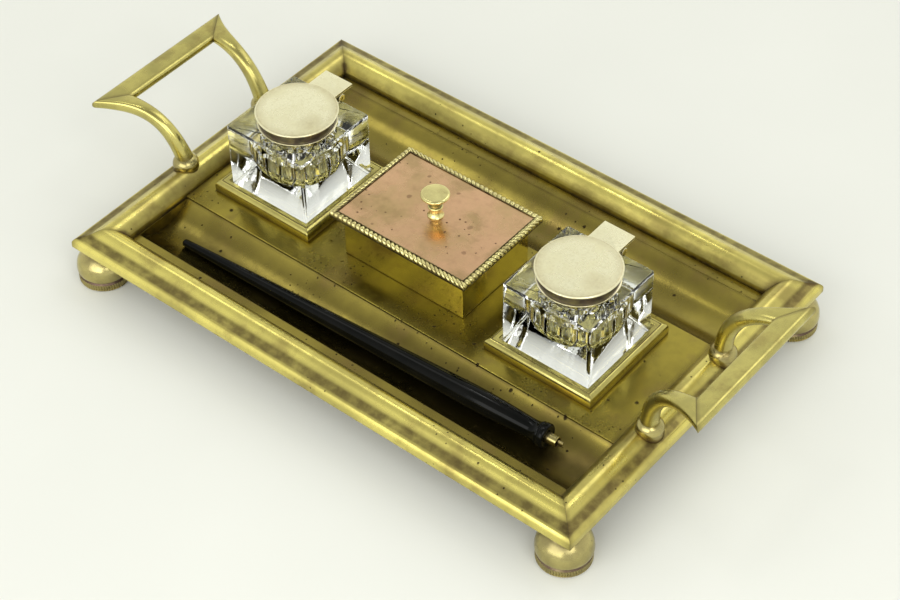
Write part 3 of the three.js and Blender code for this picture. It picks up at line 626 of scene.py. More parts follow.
rim_x = brass("rim_brass_long", *RIM_COLOURS, rough=(0.23, 0.33), pits=0.8, grain=ALONG_X)
rim_y = brass("rim_brass_short_painted_shade", *SIDE_RIM_PAINTED_SHADE_COLOURS, rough=(0.23, 0.33), pits=0.8, grain=ALONG_Y)
sheet = {"rough": (0.17, 0.27), "grain": ALONG_X, "flat": True}
tray = brass("tray_brass", *LINER_COLOURS, pits=0.5, clouds=45, **sheet)
plate = brass("platform_brass", *TRAY_COLOURS, pits=0.8, clouds=30, **sheet)
foot = brass("foot_brass", *FOOT_COLOURS, rough=(0.16, 0.26), pits=0.3, clouds=9)
handle = brass("handle_brass", *HAND_COLOURS, rough=(0.2, 0.32), pits=0.1, clouds=16)
gallery = brass("gallery_brass", *HAND_COLOURS, rough=(0.17, 0.28), pits=0.14, clouds=18)
box_side = brass("box_brass", *BOX_COLOURS, rough=(0.12, 0.2), pits=0.1, clouds=26)
rope = brass("rope_brass", *ROPE_COLOURS, rough=(0.2, 0.3), pits=0.05, clouds=10)
hidden = brass("hidden_brass", *TRAY_COLOURS, rough=(0.4, 0.5), pits=0.2, clouds=8)
gilt = brass("ferrule_gilt", *FOOT_COLOURS, rough=(0.18, 0.28), pits=0.2, clouds=4)
cap_metal = cap_plate()
collar_metal = collar_plate()
copper = rubbed_copper()
glass = cut_glass()
black = ebonised()

# ---- rim ----


# The rail's outer face as (inset from the outer edge, drop below the crest).
RAIL_FACE = [
    (0.5, 5.6), (1.6, 4.4), (3.4, 3.8), (5.4, 3.2), (7.4, 2.1), (9.2, 0.9), (11, 0.1),
    (12.6, 0), (14.6, 0.6), (16.6, 2.1), (18.4, 4.2), (19.5, 6),
]


def rail_height(inset):
    """The height of the rail's face at an inset from its outer edge."""
    for (a, fall_a), (b, fall_b) in zip(RAIL_FACE, RAIL_FACE[1:]):
        if inset <= b:
            break
    share = (inset - a) / (b - a)
    return RAIL_CREST - fall_a - (fall_b - fall_a) * share


def moulding():
    """The rail's section: (inset from the outer edge, height, painted shade)."""
    lip = [(0.05, RAIL_CREST - 7.2), (0.15, RAIL_CREST - 6.4)]
    lip += [(t, RAIL_CREST - fall) for t, fall in RAIL_FACE]
    path = [(0.3, RAIL_UNDERSIDE, 0.5), (0.05, RAIL_UNDERSIDE + 0.25, 0.2), (0, RAIL_UNDERSIDE + 1, 0)]
    # The cove band is darkened as a painted dark reflection, and the inner rounding as painted shade.
    for t, z in spline(lip, 5):
        cove = min(1.0, max(0.0, 2.4 - abs(t - 4.4) / 1.2))
        rounding = min(1.0, max(0.0, (t - 14.6) / 3))
        path.append((t, z, 0.76 * cove + 0.5 * rounding))
    inner, wall = RAIL_WIDTH, RAIL_WIDTH - RAIL_WALL
    # Painted shade on the inner wall, the underside and the hidden roof.
    path += [(inner, RAIL_CREST - 6.6, 0.4), (inner, 22, 0.75), (inner, RAIL_UNDERSIDE, 0.9)]
    path += [(wall, RAIL_UNDERSIDE, 0.7), (wall, RAIL_ROOF - 1.3, 1)]
    path += [(13.4, RAIL_ROOF, 1), (5.9, RAIL_ROOF, 1), (RAIL_WALL, RAIL_ROOF - 1.9, 1)]
    path += [(RAIL_WALL, RAIL_UNDERSIDE, 0.7)]
    return path


def rail(half_length, half_depth, turn):
    """A rail along X at -Y, mitred at 45 degrees and turned into its place."""
    shape = Shape()
    path = moulding()
    steps = 48
    rings = []
    for i in range(steps + 1):
        share = 2 * i / steps - 1
        share = math.copysign(abs(share) ** 0.8, share)
        points = [(share * (half_length - t - MITRE_GAP), t - half_depth, z) for t, z, _ in path]
        ring = shape.ring(points)
        end = max(0.0, (abs(share) - 0.985) / 0.015)
        for index, (_, _, tone) in zip(ring, path):
            shape.tones[index] = min(1.0, tone + 0.55 * end)
        rings.append(ring)
    shape.tube(rings)
    return shape.moved(Matrix.Rotation(turn, 4, "Z"))


def add_rim():
    quarter = math.pi / 2
    rails = {
        "front": (RIM_LENGTH, RIM_DEPTH, 0, rim_x),
        "right": (RIM_DEPTH, RIM_LENGTH, quarter, rim_y),
        "back": (RIM_LENGTH, RIM_DEPTH, 2 * quarter, rim_x),
        "left": (RIM_DEPTH, RIM_LENGTH, -quarter, rim_y),
    }
    for side, (length, depth, turn, material) in rails.items():
        shape = rail(length / 2, depth / 2, turn)
        make(f"moulding_{side}", shape, material, "tray", [f"rim_{side}"])


# ---- liner and platform ----


def trough(front, back, drop):
    """The (y, z, tone) arc of a trough between two edges, this far below the liner's top face."""
    half = (back - front) / 2
    radius = (half * half + TROUGH_DEPTH ** 2) / (2 * TROUGH_DEPTH)
    sweep = math.asin(half / radius)
    steps = 48
    path = []
    for i in range(steps + 1):
        angle = sweep * (2 * i / steps - 1)
        y = (front + back) / 2 + radius * math.sin(angle)
        z = LINER_TOP - drop - TROUGH_DEPTH + radius * (1 - math.cos(angle))
        near_edge = abs(2 * i / steps - 1)
        # Painted shadow and reflection of the pen along the front trough's bottom, and painted shade along
        # both edges of each trough.
        stain_and_shade = 0.52 * (1 - near_edge) if front < 0 else 0.0
        path.append((y, z, max(stain_and_shade, (near_edge - 0.93) / 0.07 * 0.5)))
    return path


def liner_path(drop):
    """Across the liner from front to back: flange, trough, flat, trough, flange."""
    edge = INSIDE_Y - LINER_GAP
    front = trough(-INSIDE_Y + FLANGE_WIDTH, PLATFORM_FRONT, drop)
    back = trough(PLATFORM_BACK, INSIDE_Y - FLANGE_WIDTH, drop)
    z = LINER_TOP - drop
    # Painted shade where the flange meets the rail's wall.
    lead = [(-edge, z, 0.8), (-edge + 0.9, z, 0.05), (-INSIDE_Y + FLANGE_WIDTH - 0.5, z, 0.05)]
    tail = [(INSIDE_Y - FLANGE_WIDTH + 0.5, z, 0.05), (edge - 0.9, z, 0.05), (edge, z, 0.8)]
    return [*lead, *front, *back, *tail]


def strip_along_x(path, half_x, steps=40, end_shade=0.7):
    """A closed (y, z, tone) section carried along X, with painted shade where it meets the end rails."""
    shape = Shape()
    rings = []
    for i in range(steps + 1):
        share = 2 * i / steps - 1
        share = math.copysign(1 - (1 - abs(share)) ** 1.6, share)
        x = share * half_x
        ring = shape.ring([(x, y, z) for y, z, _ in path])
        near = max(0.0, 1 - (half_x - abs(x)) / 2.5)
        for index, (_, _, tone) in zip(ring, path):
            shape.tones[index] = min(1.0, tone + end_shade * near)
        rings.append(ring)
    shape.tube(rings)
    return shape


def trough_end(front, back, side):
    """An upright wall that closes one end of a trough, 1 for the +X end and -1 for the -X end."""
    # Painted shade on the whole end wall.
    section = [(y, z, 0.75) for y, z, _ in trough(front, back, LINER_SHEET / 2)]
    section += [(back, LINER_TOP, 0.6), (front, LINER_TOP, 0.6)]
    outer = side * (INSIDE_X - LINER_GAP)
    shape = Shape()
    rings = []
    for x in (outer, outer - side * LINER_SHEET):
        ring = shape.ring([(x, y, z) for y, z, _ in section])
        for index, (_, _, tone) in zip(ring, section):
            shape.tones[index] = tone
        rings.append(ring)
    shape.tube(rings)
    return shape


def add_liner_and_platform():
    half_x = INSIDE_X - LINER_GAP
    path = liner_path(0) + liner_path(LINER_SHEET)[::-1]
    liner = strip_along_x(path, half_x)
    for side in (-1, 1):
        liner.add(trough_end(-INSIDE_Y + FLANGE_WIDTH, PLATFORM_FRONT, side))
        liner.add(trough_end(PLATFORM_BACK, INSIDE_Y - FLANGE_WIDTH, side))
    make("pen_tray_liner", liner, tray, "tray", ["tray_liner"], 24)
    low, high = LINER_TOP + 0.02, PLATFORM_TOP
    front, back = PLATFORM_FRONT, PLATFORM_BACK
    corners = [(front, low), (front, high, 0.45), (back, high, 0.45), (back, low)]
    path = [(y, z, 0.0) for y, z in fillet(corners, 0.1, 4, closed=True)]
    platform = strip_along_x(path, half_x)
    make("raised_platform", platform, plate, "tray", ["platform_plate"])


# ---- feet ----


def foot_shape():
    """A bun foot: a coarsely milled base band, a groove, a low dome and a neck."""
    band_low, band_high = 0.8, 4.2
    r = FOOT_BASE_RADIUS
    base = fillet([(0, 0), (9.6, 0), (9.9, 0.25), (r - 1.0, 0.25), (r - 0.12, band_low)], 0.15)
    band = [(r - 0.12, band_low + 0.2), (r, band_low + 0.5), (r, 1.9), (r, 3.0), (r, band_high - 0.3)]
    band.append((r - 0.25, band_high))
    groove = fillet([(r - 0.25, band_high), (r - 0.7, 4.7), (r - 0.95, 5.0), (r - 0.6, 5.4)], 0.2)[1:]
    r = FOOT_RADIUS
    dome = [(r - 0.9, 5.4), (r - 0.25, 6.2), (r, 8), (r - 0.6, 11.4), (r - 2, 13.8), (r - 4, 15.8)]
    dome = spline(dome + [(FOOT_NECK_RADIUS + 0.4, 17.2), (FOOT_NECK_RADIUS, 18.2)])[1:]
    top = RAIL_UNDERSIDE - 0.1
    neck = [(FOOT_NECK_RADIUS, 19.4), (FOOT_NECK_RADIUS - 0.3, top), (0, top)]
    path = base + band + groove + dome + neck

    def milled(radius, height, angle):
        if not band_low + 0.1 < height < band_high - 0.1:
            return radius
        slant = (height - band_low) * 0.01
        return radius - 0.26 * (1 - math.cos(FOOT_FLUTES * (angle + slant)))

    # Painted shade in the groove, on the top of the dome and the neck under the rail and at the bottom edge on
    # the table; the milled band is a little darker too.
    def tone(radius, height):
        if 4.1 < height < 5.6 or height > 17.4:
            return 0.95
        if height < 4.2:
            return 0.55 if height < 0.8 else 0.25
        return 0.35 * max(0.0, (height - 13) / 4)

    return lathe(path, FOOT_FLUTES * 8, radius_at=milled, tone_at=tone)


def add_feet():
    for corner in ("front_left", "front_right", "back_right", "back_left"):
        place = Matrix.Translation(tray_middle(f"foot_{corner}"))
        place @= Matrix.Rotation(random.Random(corner).uniform(0, 6), 4, "Z")
        make(f"bun_{corner}", foot_shape().moved(place), foot, "tray", [f"foot_{corner}"])


# ---- handles ----


class ArmPath:
    """A bent bar from the boss to the grip's inner edge, then straight on under the mitre."""

    def __init__(self, reach, rise, tilt, lean):
        self.tilt = tilt
        self.along = Vector((math.cos(tilt), math.sin(tilt)))
        end = Vector((reach, rise)) - self.along * GRIP_WIDTH
        pull = end.length
        first = Vector((math.cos(lean), math.sin(lean))) * pull * ARM_START_PULL
        second = end - self.along * pull * ARM_END_PULL
        steps = 200
        self.spots = []
        for i in range(steps + 1):
            t = i / steps
            spot = first * 3 * t * (1 - t) ** 2 + second * 3 * t ** 2 * (1 - t) + end * t ** 3
            self.spots.append(spot)
        self.lengths = [0.0]
        for a, b in zip(self.spots, self.spots[1:]):
            self.lengths.append(self.lengths[-1] + (b - a).length)
        self.arc = self.lengths[-1]

    def at(self, distance):
        """(out, up, angle) at a distance along the arm."""
        inside = min(max(distance, 0.0), self.arc)
        k = max(1, min(bisect.bisect_left(self.lengths, inside), len(self.spots) - 1))
        share = (inside - self.lengths[k - 1]) / (self.lengths[k] - self.lengths[k - 1])
        spot = self.spots[k - 1].lerp(self.spots[k], share) + self.along * max(distance - self.arc, 0)
        near, far = self.spots[max(k - 3, 0)], self.spots[min(k + 2, len(self.spots) - 1)]
        angle = self.tilt if distance >= self.arc else math.atan2(far.y - near.y, far.x - near.x)
        return spot.x, spot.y, angle


def grip_section(steps=8):
    """The grip's section from (inset, lift): a flat top with rounded shoulders."""
    half, width = GRIP_THICKNESS / 2, GRIP_WIDTH
    path = [(0.25, -half * 0.6), (0, -half * 0.3), (0, half * 0.1)]
    path += curve((0, half * 0.1), (0, half * 0.98), (width * 0.26, half), steps)
    path += [(width * 0.5, half + 0.02)]
    path += [(width * 0.74, half)]
    path += curve((width * 0.74, half), (width, half * 0.98), (width, half * 0.1), steps)
    path += [(width, -half * 0.3), (width - 0.25, -half * 0.6)]
    path += curve((width - 0.25, -half * 0.6), (width * 0.95, -half), (width * 0.86, -half), 4)
    path += [(width * 0.5, -half - 0.02)]
    path += [(width * 0.14, -half)]
    path += curve((width * 0.14, -half), (width * 0.05, -half), (0.25, -half * 0.6), 4)[:-1]
    return path


def arm_shape(path):
    """Round at the boss, swelling to the grip's own section at the mitre."""
    shape = Shape()
    rings = []
    count = 40
    section = grip_section()
    inner_end = path.arc - HANDLE_MITRE_GAP
    outer_end = inner_end + GRIP_WIDTH
    half = GRIP_THICKNESS / 2
    for i in range(count + 1):
        along = i / count
        inner = BOSS_Y - ARM_FOOT_RADIUS * (1 - along)
        flare = (GRIP_HALF_OUTER - BOSS_Y - ARM_FOOT_RADIUS) * along ** ARM_FLARE
        outer = BOSS_Y + ARM_FOOT_RADIUS + flare
        flat = along ** 2.2
        thin = along ** ARM_FLATTEN
        thick = ARM_FOOT_RADIUS * (1 - thin) + half * thin
        points = []
        for inset, lift in section:
            share = 1 - inset / GRIP_WIDTH
            level = lift / half
            size = math.hypot(2 * share - 1, level) or 1
            round_share = ((2 * share - 1) / size + 1) / 2
            round_level = level / size
            share = round_share * (1 - flat) + share * flat
            level = round_level * (1 - flat) + level * flat
            out, up, angle = path.at(along * (inner_end * (1 - share) + outer_end * share))
            move = level * thick
            y = inner * (1 - share) + outer * share
            points.append((out - math.sin(angle) * move, y, up + math.cos(angle) * move))
        # Painted shade where the arm goes into the boss, and a dark seam at the mitre end.
        tone = max(0.0, 0.8 - along * 9) + max(0.0, (along - 0.975) * 20)
        rings.append(shape.ring(points, min(1, tone)))
    shape.tube(rings)
    return shape


def boss_shape():
    """A domed collar on the +X rail whose underside follows the rail's face."""
    r, h = BOSS_RADIUS, BOSS_HEIGHT
    angles = [math.pi / 2 * i / 14 for i in range(15)]
    ball = [(r * math.cos(a), 1 + (h - 1) * math.sin(a)) for a in angles]
    path = [(r * 0.02, -4), (r * 0.35, -4), (r * 0.7, -4), (r - 0.25, -4), (r - 0.02, -3.8)]
    path += [(r, -0.8), (r, 0.2)] + ball
    # Painted shade round the top where the arm goes in.
    shape = lathe(path, 64, tone_at=lambda radius, z: 0.55 if z > h - 0.5 else 0.0)
    for index, point in enumerate(shape.points):
        seat = rail_height(BOSS_INSET - point.x) - RAIL_CREST + 0.03
        if point.z < -3.9:
            point.z = seat
        elif point.z < 0.5:
            low = point.z < -3
            point.z = max(seat + (0.25 if low else 0.8), point.z)
            # Painted contact shadow where the boss sits on the rail.
            shape.tones[index] = 0.95 if low else 0.35
    return shape


def grip_shape(path):
    """The straight bar across the two arms, mitred at both ends."""
    shape = Shape()
    end_out, end_up, _ = path.at(path.arc + GRIP_WIDTH)
    slope = (GRIP_HALF_OUTER - BOSS_Y) / GRIP_WIDTH
    tilt = path.tilt
    steps = 24
    rings = []
    for i in range(steps + 1):
        share = 2 * i / steps - 1
        points = []
        for inset, lift in grip_section():
            half = GRIP_HALF_OUTER - inset * slope - HANDLE_MITRE_GAP
            out = end_out - inset * math.cos(tilt) - lift * math.sin(tilt)
            up = end_up - inset * math.sin(tilt) + lift * math.cos(tilt)
            points.append((out, share * half, up))
        rings.append(shape.ring(points, 0.5 if abs(share) > 0.97 else 0.0))
    shape.tube(rings)
    return shape


def add_handles():
    boss_x = RIM_LENGTH / 2 - BOSS_INSET
    for side, size in HANDLES.items():
        rise = size["top"] - GRIP_THICKNESS / 2 - RAIL_CREST - ARM_SEAT
        tilt, lean = math.radians(size["tilt"]), math.radians(size["lean"])
        path = ArmPath(size["reach"] - boss_x, rise, tilt, lean)
        turn = Matrix.Rotation(size["turn"], 4, "Z")
        base = turn @ Matrix.Translation((boss_x, 0, RAIL_CREST))
        seat = base @ Matrix.Translation((0, 0, ARM_SEAT))
        for way in (1, -1):
            place = "back" if (way > 0) != (side == "left") else "front"
            mirror = Matrix.Scale(way, 4, (0, 1, 0))
            arm = arm_shape(path).moved(seat @ mirror)
            node = f"handle_{side}_arm_{place}"
            make(f"arm_{side}_{place}", arm, handle, "tray", [node], 40)
            boss = boss_shape().moved(base @ Matrix.Translation((0, way * BOSS_Y, 0)))
            node = f"handle_{side}_boss_{place}"
            make(f"boss_{side}_{place}", boss, foot, "tray", [node])
        grip = grip_shape(path).moved(seat)
        make(f"grip_{side}", grip, handle, "tray", [f"handle_{side}_grip"], 40)


# ---- inkwells ----


def gallery_shape():
    """A moulded square frame with a thin floor."""
    inner = GLASS_HALF + GLASS_GAP
    low, high, half = PLATFORM_TOP, PLATFORM_TOP + GALLERY_HEIGHT, GALLERY_HALF
    floor = low + GALLERY_FLOOR
    corners = [
        (half - 0.6, low + 0.02), (half, low + 0.02), (half, high - 2.4, 0.8),
        (half - 0.6, high - 1.0, 0.8), (half - 1.9, high - 0.1, 0.5), (half - 2.5, high),
        (half - 2.6, high - 0.3, 0.08), (half - 2.85, high - 0.3, 0.08), (half - 2.95, high, 0.08),
        (inner + 0.6, high), (inner, high - 0.6), (inner, floor), (0.5, floor),
    ]
    path = fillet(corners, 0.28, 4)

    # Painted shade at the foot on the platform, in the groove on the top and on the inner face beside the
    # glass.
    def tone(width, height):
        if width > half - 0.4 and height < low + 0.6:
            return 0.8
        if half - 2.9 < width < half - 2.45 and height < high - 0.05:
            return 0.9
        return 0.6 if width < inner + 0.1 and height > floor + 0.4 else 0.0

    return square_sweep(path, radius=0.35, caps=(0, -1), tone_at=tone)


def octagon(half, chamfer, z):
    """A square with its four corners cut off, at a height."""
    near = half - chamfer
    points = []
    for sx, sy, flip in ((1, -1, 0), (1, 1, 1), (-1, 1, 0), (-1, -1, 1)):
        pair = [(sx * near, sy * half, z), (sx * half, sy * near, z)]
        points.extend(pair[::-1] if flip else pair)
    return points


def flute(angle, height):
    """How far the well's wall is cut back here by its arched flutes."""
    sector = 2 * math.pi / WELL_FLUTES
    across = ((angle / sector) % 1.0) * 2 - 1
    arch_top = FLUTE_TOP - FLUTE_ARCH * (1 - math.sqrt(max(0.0, 1 - across * across)))
    depth = min(1.0, max(0.0, (arch_top - height) / 1.6))
    fade = min(1.0, max(0.0, (height - WELL_FLOOR - 0.6) / 2.5))
    return FLUTE_DEPTH * (1 - across * across) * depth * fade


def glass_shape():
    """A cut block with a neck, and the well sunk in it as one closed skin."""
    shape = Shape()
    edge = GLASS_EDGE
    levels = [
        (GLASS_HALF - edge, GLASS_CHAMFER - edge * 0.6, GLASS_BOTTOM),
        (GLASS_HALF, GLASS_CHAMFER, GLASS_BOTTOM + edge),
        (GLASS_HALF, GLASS_CHAMFER, GLASS_TOP - edge),
        (GLASS_HALF - edge, GLASS_CHAMFER - edge * 0.6, GLASS_TOP),
    ]
    rings = [shape.ring(octagon(*level)) for level in levels]
    shape.skin(rings)
    shape.cap(rings[0][::-1])

    path = [(NECK_RADIUS, GLASS_TOP)]
    neck = [(NECK_RADIUS, GLASS_TOP + 0.4), (NECK_RADIUS, NECK_TOP), (MOUTH_RADIUS, NECK_TOP)]
    throat = (MOUTH_RADIUS, THROAT_BOTTOM)
    path += fillet([*neck, throat], 0.6)
    shoulder = [throat, (MOUTH_RADIUS + 0.6, 60.2), (15.2, 58.4), (WELL_RADIUS, SHOULDER_BOTTOM)]
    path += spline(shoulder, 5)[1:]
    height = SHOULDER_BOTTOM
    while height > WELL_FLOOR + 9:
        height -= 0.55
        path.append((WELL_RADIUS, height))
    bowl = [(WELL_RADIUS, height), (WELL_RADIUS - 1.2, 42.2), (WELL_RADIUS - 3.4, 39.2), (11.2, 37.2)]
    path += spline([*bowl, (8.4, WELL_FLOOR)], 6)[1:]
    path += [(5, WELL_FLOOR - 0.1), (0, WELL_FLOOR - 0.15)]

    def cut(radius, height, angle):
        return radius + (flute(angle, height) if radius > 11 and height < 55 else 0)

    around = WELL_FLUTES * FLUTE_STEPS
    start = len(shape.points)
    shape.add(lathe(path, around, radius_at=cut))
    join_flat(shape, rings[-1], list(range(start, start + around)))
    return shape


def join_flat(shape, outer, circle):
    """Fills the flat between an outer ring and a circle inside it with triangles."""
    def angle(index):
        return math.atan2(shape.points[index].y, shape.points[index].x) % (2 * math.pi)

    outer = sorted(outer, key=angle)
    circle = sorted(circle, key=angle)
    a, b = 0, 0
    while a < len(outer) or b < len(circle):
        next_outer = angle(outer[a]) if a < len(outer) else 9
        next_inner = angle(circle[b]) if b < len(circle) else 9
        if next_outer < next_inner:
            shape.faces.append((outer[a - 1], outer[a], circle[(b - 1) % len(circle)]))
            a += 1
        else:
            shape.faces.append((circle[b - 1], outer[(a - 1) % len(outer)], circle[b]))
            b += 1


def pin_along_x(radius, left, right, bore=0.0, steps=28):
    """A short round bar on the hinge axis with eased ends."""
    ease = min(0.15, (right - left) / 6)
    path = [(bore, left), (radius - ease, left), (radius, left + ease)]
    path += [(radius, right - ease), (radius - ease, right), (bore, right)]
    shape = lathe(path, steps, closed=bore > 0)
    turn = Matrix.Translation((0, HINGE_Y, HINGE_Z)) @ Matrix.Rotation(math.pi / 2, 4, "Y")
    return shape.moved(turn)


def collar_shape():
    """A dark ring with a thin bright flange under it and two hinge knuckles behind it."""
    bore = NECK_RADIUS + 0.15
    corners = [
        (bore, COLLAR_BOTTOM + 0.02), (COLLAR_FLANGE_RADIUS, COLLAR_BOTTOM + 0.02, 0.2),
        (COLLAR_FLANGE_RADIUS, COLLAR_BOTTOM + 0.7, 0.2), (COLLAR_RADIUS, COLLAR_BOTTOM + 0.95, 0.15),
        (COLLAR_RADIUS + 0.1, COLLAR_BOTTOM + 2.4), (COLLAR_RADIUS, COLLAR_TOP, 0.2), (bore, COLLAR_TOP),
    ]

    def tone(radius, height):
        return 0.0 if height < COLLAR_BOTTOM + 0.85 else 1.0

    shape = lathe(fillet(corners, 0.15, 3, closed=True), FINE_STEPS, closed=True, tone_at=tone)
    leaf_top = HINGE_Z - 0.8
    for way in (-1, 1):
        left, right = sorted((way * TAB_HALF, way * KNUCKLE_SPLIT))
        leaf = slab((left, COLLAR_RADIUS - 1, COLLAR_BOTTOM + 0.2), (right, HINGE_Y, leaf_top), 0.2)
        shape.add(leaf)
        shape.add(pin_along_x(KNUCKLE_RADIUS, left, right, 0.85))
    return shape


def cap_shape():
    """A thin cap with a fine line round its edge, a square tab and the middle knuckle."""
    top, low, r = CAP_TOP, CAP_BOTTOM, CAP_RADIUS
    edge = fillet([(0, low), (r - 0.3, low), (r, low + 0.4), (r, top - 0.6), (r - 0.4, top - 0.3)], 0.2)
    edge += [(r - 0.9, top - 0.27), (r - 1.05, top - 0.36), (r - 1.2, top - 0.27)]
    dome = [(r - 1.2, top - 0.27), (r - 2, top - 0.24), (r * 0.7, top - 0.14), (r * 0.35, top - 0.04)]
    dome = spline([*dome, (0, top)])[1:]

    def tone(radius, height):
        # Painted shade on the underside.
        if height < low + 0.3:
            return 0.9
        if radius > r - 0.7:
            return 0.1
        if r - 1.3 < radius:
            return 0.6
        return max(0.0, (radius - r + 5) / 9)

    shape = lathe(edge + dome, FINE_STEPS, tone_at=tone)
    worn = Vector((13, -4, 0))
    for i, point in enumerate(shape.points):
        away = (Vector((point.x, point.y, 0)) - worn).length
        if point.z > top - 0.3 and away < 8:
            shape.tones[i] = max(shape.tones[i], 0.5 * (1 - away / 8) ** 0.7)
    tab_top = top - 0.3
    tab_low = tab_top - TAB_SHEET
    side = KNUCKLE_SPLIT - 0.2
    shape.add(slab((-TAB_HALF, r - 3, low + 0.02), (TAB_HALF, TAB_REACH, tab_top), 0.15))
    shape.add(slab((-TAB_HALF, COLLAR_RADIUS + 0.5, tab_low), (TAB_HALF, TAB_REACH, tab_top - 0.3), 0.15))
    shape.add(slab((-side, HINGE_Y - 1.4, HINGE_Z), (side, HINGE_Y + 1.4, tab_low + 0.3), 0.1))
    shape.add(pin_along_x(KNUCKLE_RADIUS, -side, side, 0.85))
    return shape


def add_inkwells():
    for side in ("left", "right"):
        place = Matrix.Translation(tray_middle(f"gallery_{side}"))
        loose, lifting = f"inkwell_{side}", f"cap_{side}"
        square = gallery_shape().moved(place)
        make(f"square_gallery_{side}", square, gallery, "tray", [f"gallery_{side}"])
        block = glass_shape().moved(place)
        node = f"inkwell_glass_{side}"
        centre = place.translation

        def cut_edge(a, b):
            return min((a - centre).xy.length, (b - centre).xy.length) > MOUTH_RADIUS + 8

        make(f"cut_glass_{side}", block, glass, loose, [node], 24, cut_edge)
        ring = collar_shape().moved(place)
        node = f"inkwell_collar_{side}"
        make(f"neck_collar_{side}", ring, collar_metal, loose, [node])
        lid = cap_shape().moved(place)
        make(f"round_cap_{side}", lid, cap_metal, lifting, [f"inkwell_cap_{side}"])
        pin = pin_along_x(0.8, -TAB_HALF, TAB_HALF).moved(place)
        make(f"cap_pin_{side}", pin, hidden, loose, [f"hinge_pin_{side}"])


# ---- stamp box ----


def box_shape():
    """The open box: thin walls and floor, with a soft vertical edge at each corner."""
    extra = BOX_HALF_X - BOX_HALF_Y
    inner = BOX_HALF_Y - BOX_WALL
    outer, low = BOX_HALF_Y, PLATFORM_TOP
    corners = [
        (0.5, low + 0.02), (outer - 0.1, low + 0.02), (outer, low + 0.3), (outer, low + 1.2, 0.05),
        (outer, BOX_TOP - 0.5, 0.05), (outer, BOX_TOP), (inner, BOX_TOP), (inner, low + BOX_WALL),
        (0.5, low + BOX_WALL),
    ]
    path = fillet(corners, 0.15)

    # Painted shade inside the box and along its foot on the platform.
    def tone(width, height):
        if width < inner + 0.1:
            return 0.7
        return 0.7 if height < PLATFORM_TOP + 0.5 else 0.0

    return square_sweep(path, extra, 0.45, caps=(0, -1), tone_at=tone)


def lid_tray_shape():
    """The tray under the lid with a turned-down rim that locates it in the box."""
    extra = LID_HALF_X - LID_HALF_Y
    edge = LID_HALF_Y - LID_BORDER
    rim = BOX_HALF_Y - BOX_WALL - 0.4
    low = LID_BOTTOM - LID_RIM_DEPTH
    corners = [
        (0.5, LID_BOTTOM), (rim - 1, LID_BOTTOM), (rim - 1, low), (rim, low), (rim, LID_BOTTOM),
        (edge, LID_BOTTOM), (edge, LID_PANEL_BOTTOM - 0.02), (0.5, LID_PANEL_BOTTOM - 0.02),
    ]
    # The whole tray under the lid is darkened as painted shade.
    return square_sweep(fillet(corners, 0.12), extra, 0.2, caps=(0, -1), tone_at=lambda w, z: 0.4)


def border_strip_shape():
    """The flat band that the rope is laid on."""
    extra = LID_HALF_X - LID_HALF_Y
    inner, outer = LID_HALF_Y - LID_BORDER + 0.05, LID_HALF_Y - 0.25
    corners = [
        (inner, LID_BOTTOM), (outer, LID_BOTTOM), (outer, LID_BOTTOM + 1.2), (outer - 1.2, 48.2),
        (inner + 0.55, 49.0), (inner + 0.55, 49.75), (inner, 49.75),
    ]

    # Painted shade: the band is darkened to read as the shaded gap between the rope and the copper.
    def tone(width, height):
        return 0.9

    return square_sweep(fillet(corners, 0.12, 3, closed=True), extra, 0.2, closed=True, tone_at=tone)


def rope_side(half_length, half_depth, turn):
    """One side of the twisted rope, sheared at both ends to the mitres."""
    shape = Shape()
    centre = half_depth - ROPE_RADIUS
    height = 50.1 - ROPE_RADIUS
    sides, per_lobe = 16, 12
    lobes = round(2 * half_length / ROPE_PITCH)
    rings = []
    for i in range(lobes * per_lobe + 1):
        share = 2 * i / (lobes * per_lobe) - 1
        points, tones = [], []
        for k in range(sides):
            angle = 2 * math.pi * k / sides
            phase = (share + 1) / 2 * lobes + ROPE_TWIST * angle / (2 * math.pi)
            lobe = abs(math.sin(math.pi * phase))
            radius = ROPE_RADIUS * (0.52 + 0.48 * lobe ** 0.6)
            out = centre + radius * math.cos(angle)
            x = share * (half_length - half_depth + out)
            points.append((x, -out, height + radius * math.sin(angle)))
            # Painted shade in the grooves between the lobes.
            tones.append(max(0.0, 1 - lobe * 2.2))
        ring = shape.ring(points)
        for index, tone in zip(ring, tones):
            shape.tones[index] = tone
        rings.append(ring)
    shape.tube(rings)
    return shape.moved(Matrix.Rotation(turn, 4, "Z"))


def rope_shape():
    """The twisted rope, all the way round the lid."""
    quarter = math.pi / 2
    shape = Shape()
    for k in range(4):
        length, depth = (LID_HALF_X, LID_HALF_Y) if k % 2 == 0 else (LID_HALF_Y, LID_HALF_X)
        shape.add(rope_side(length, depth, k * quarter))
    return shape


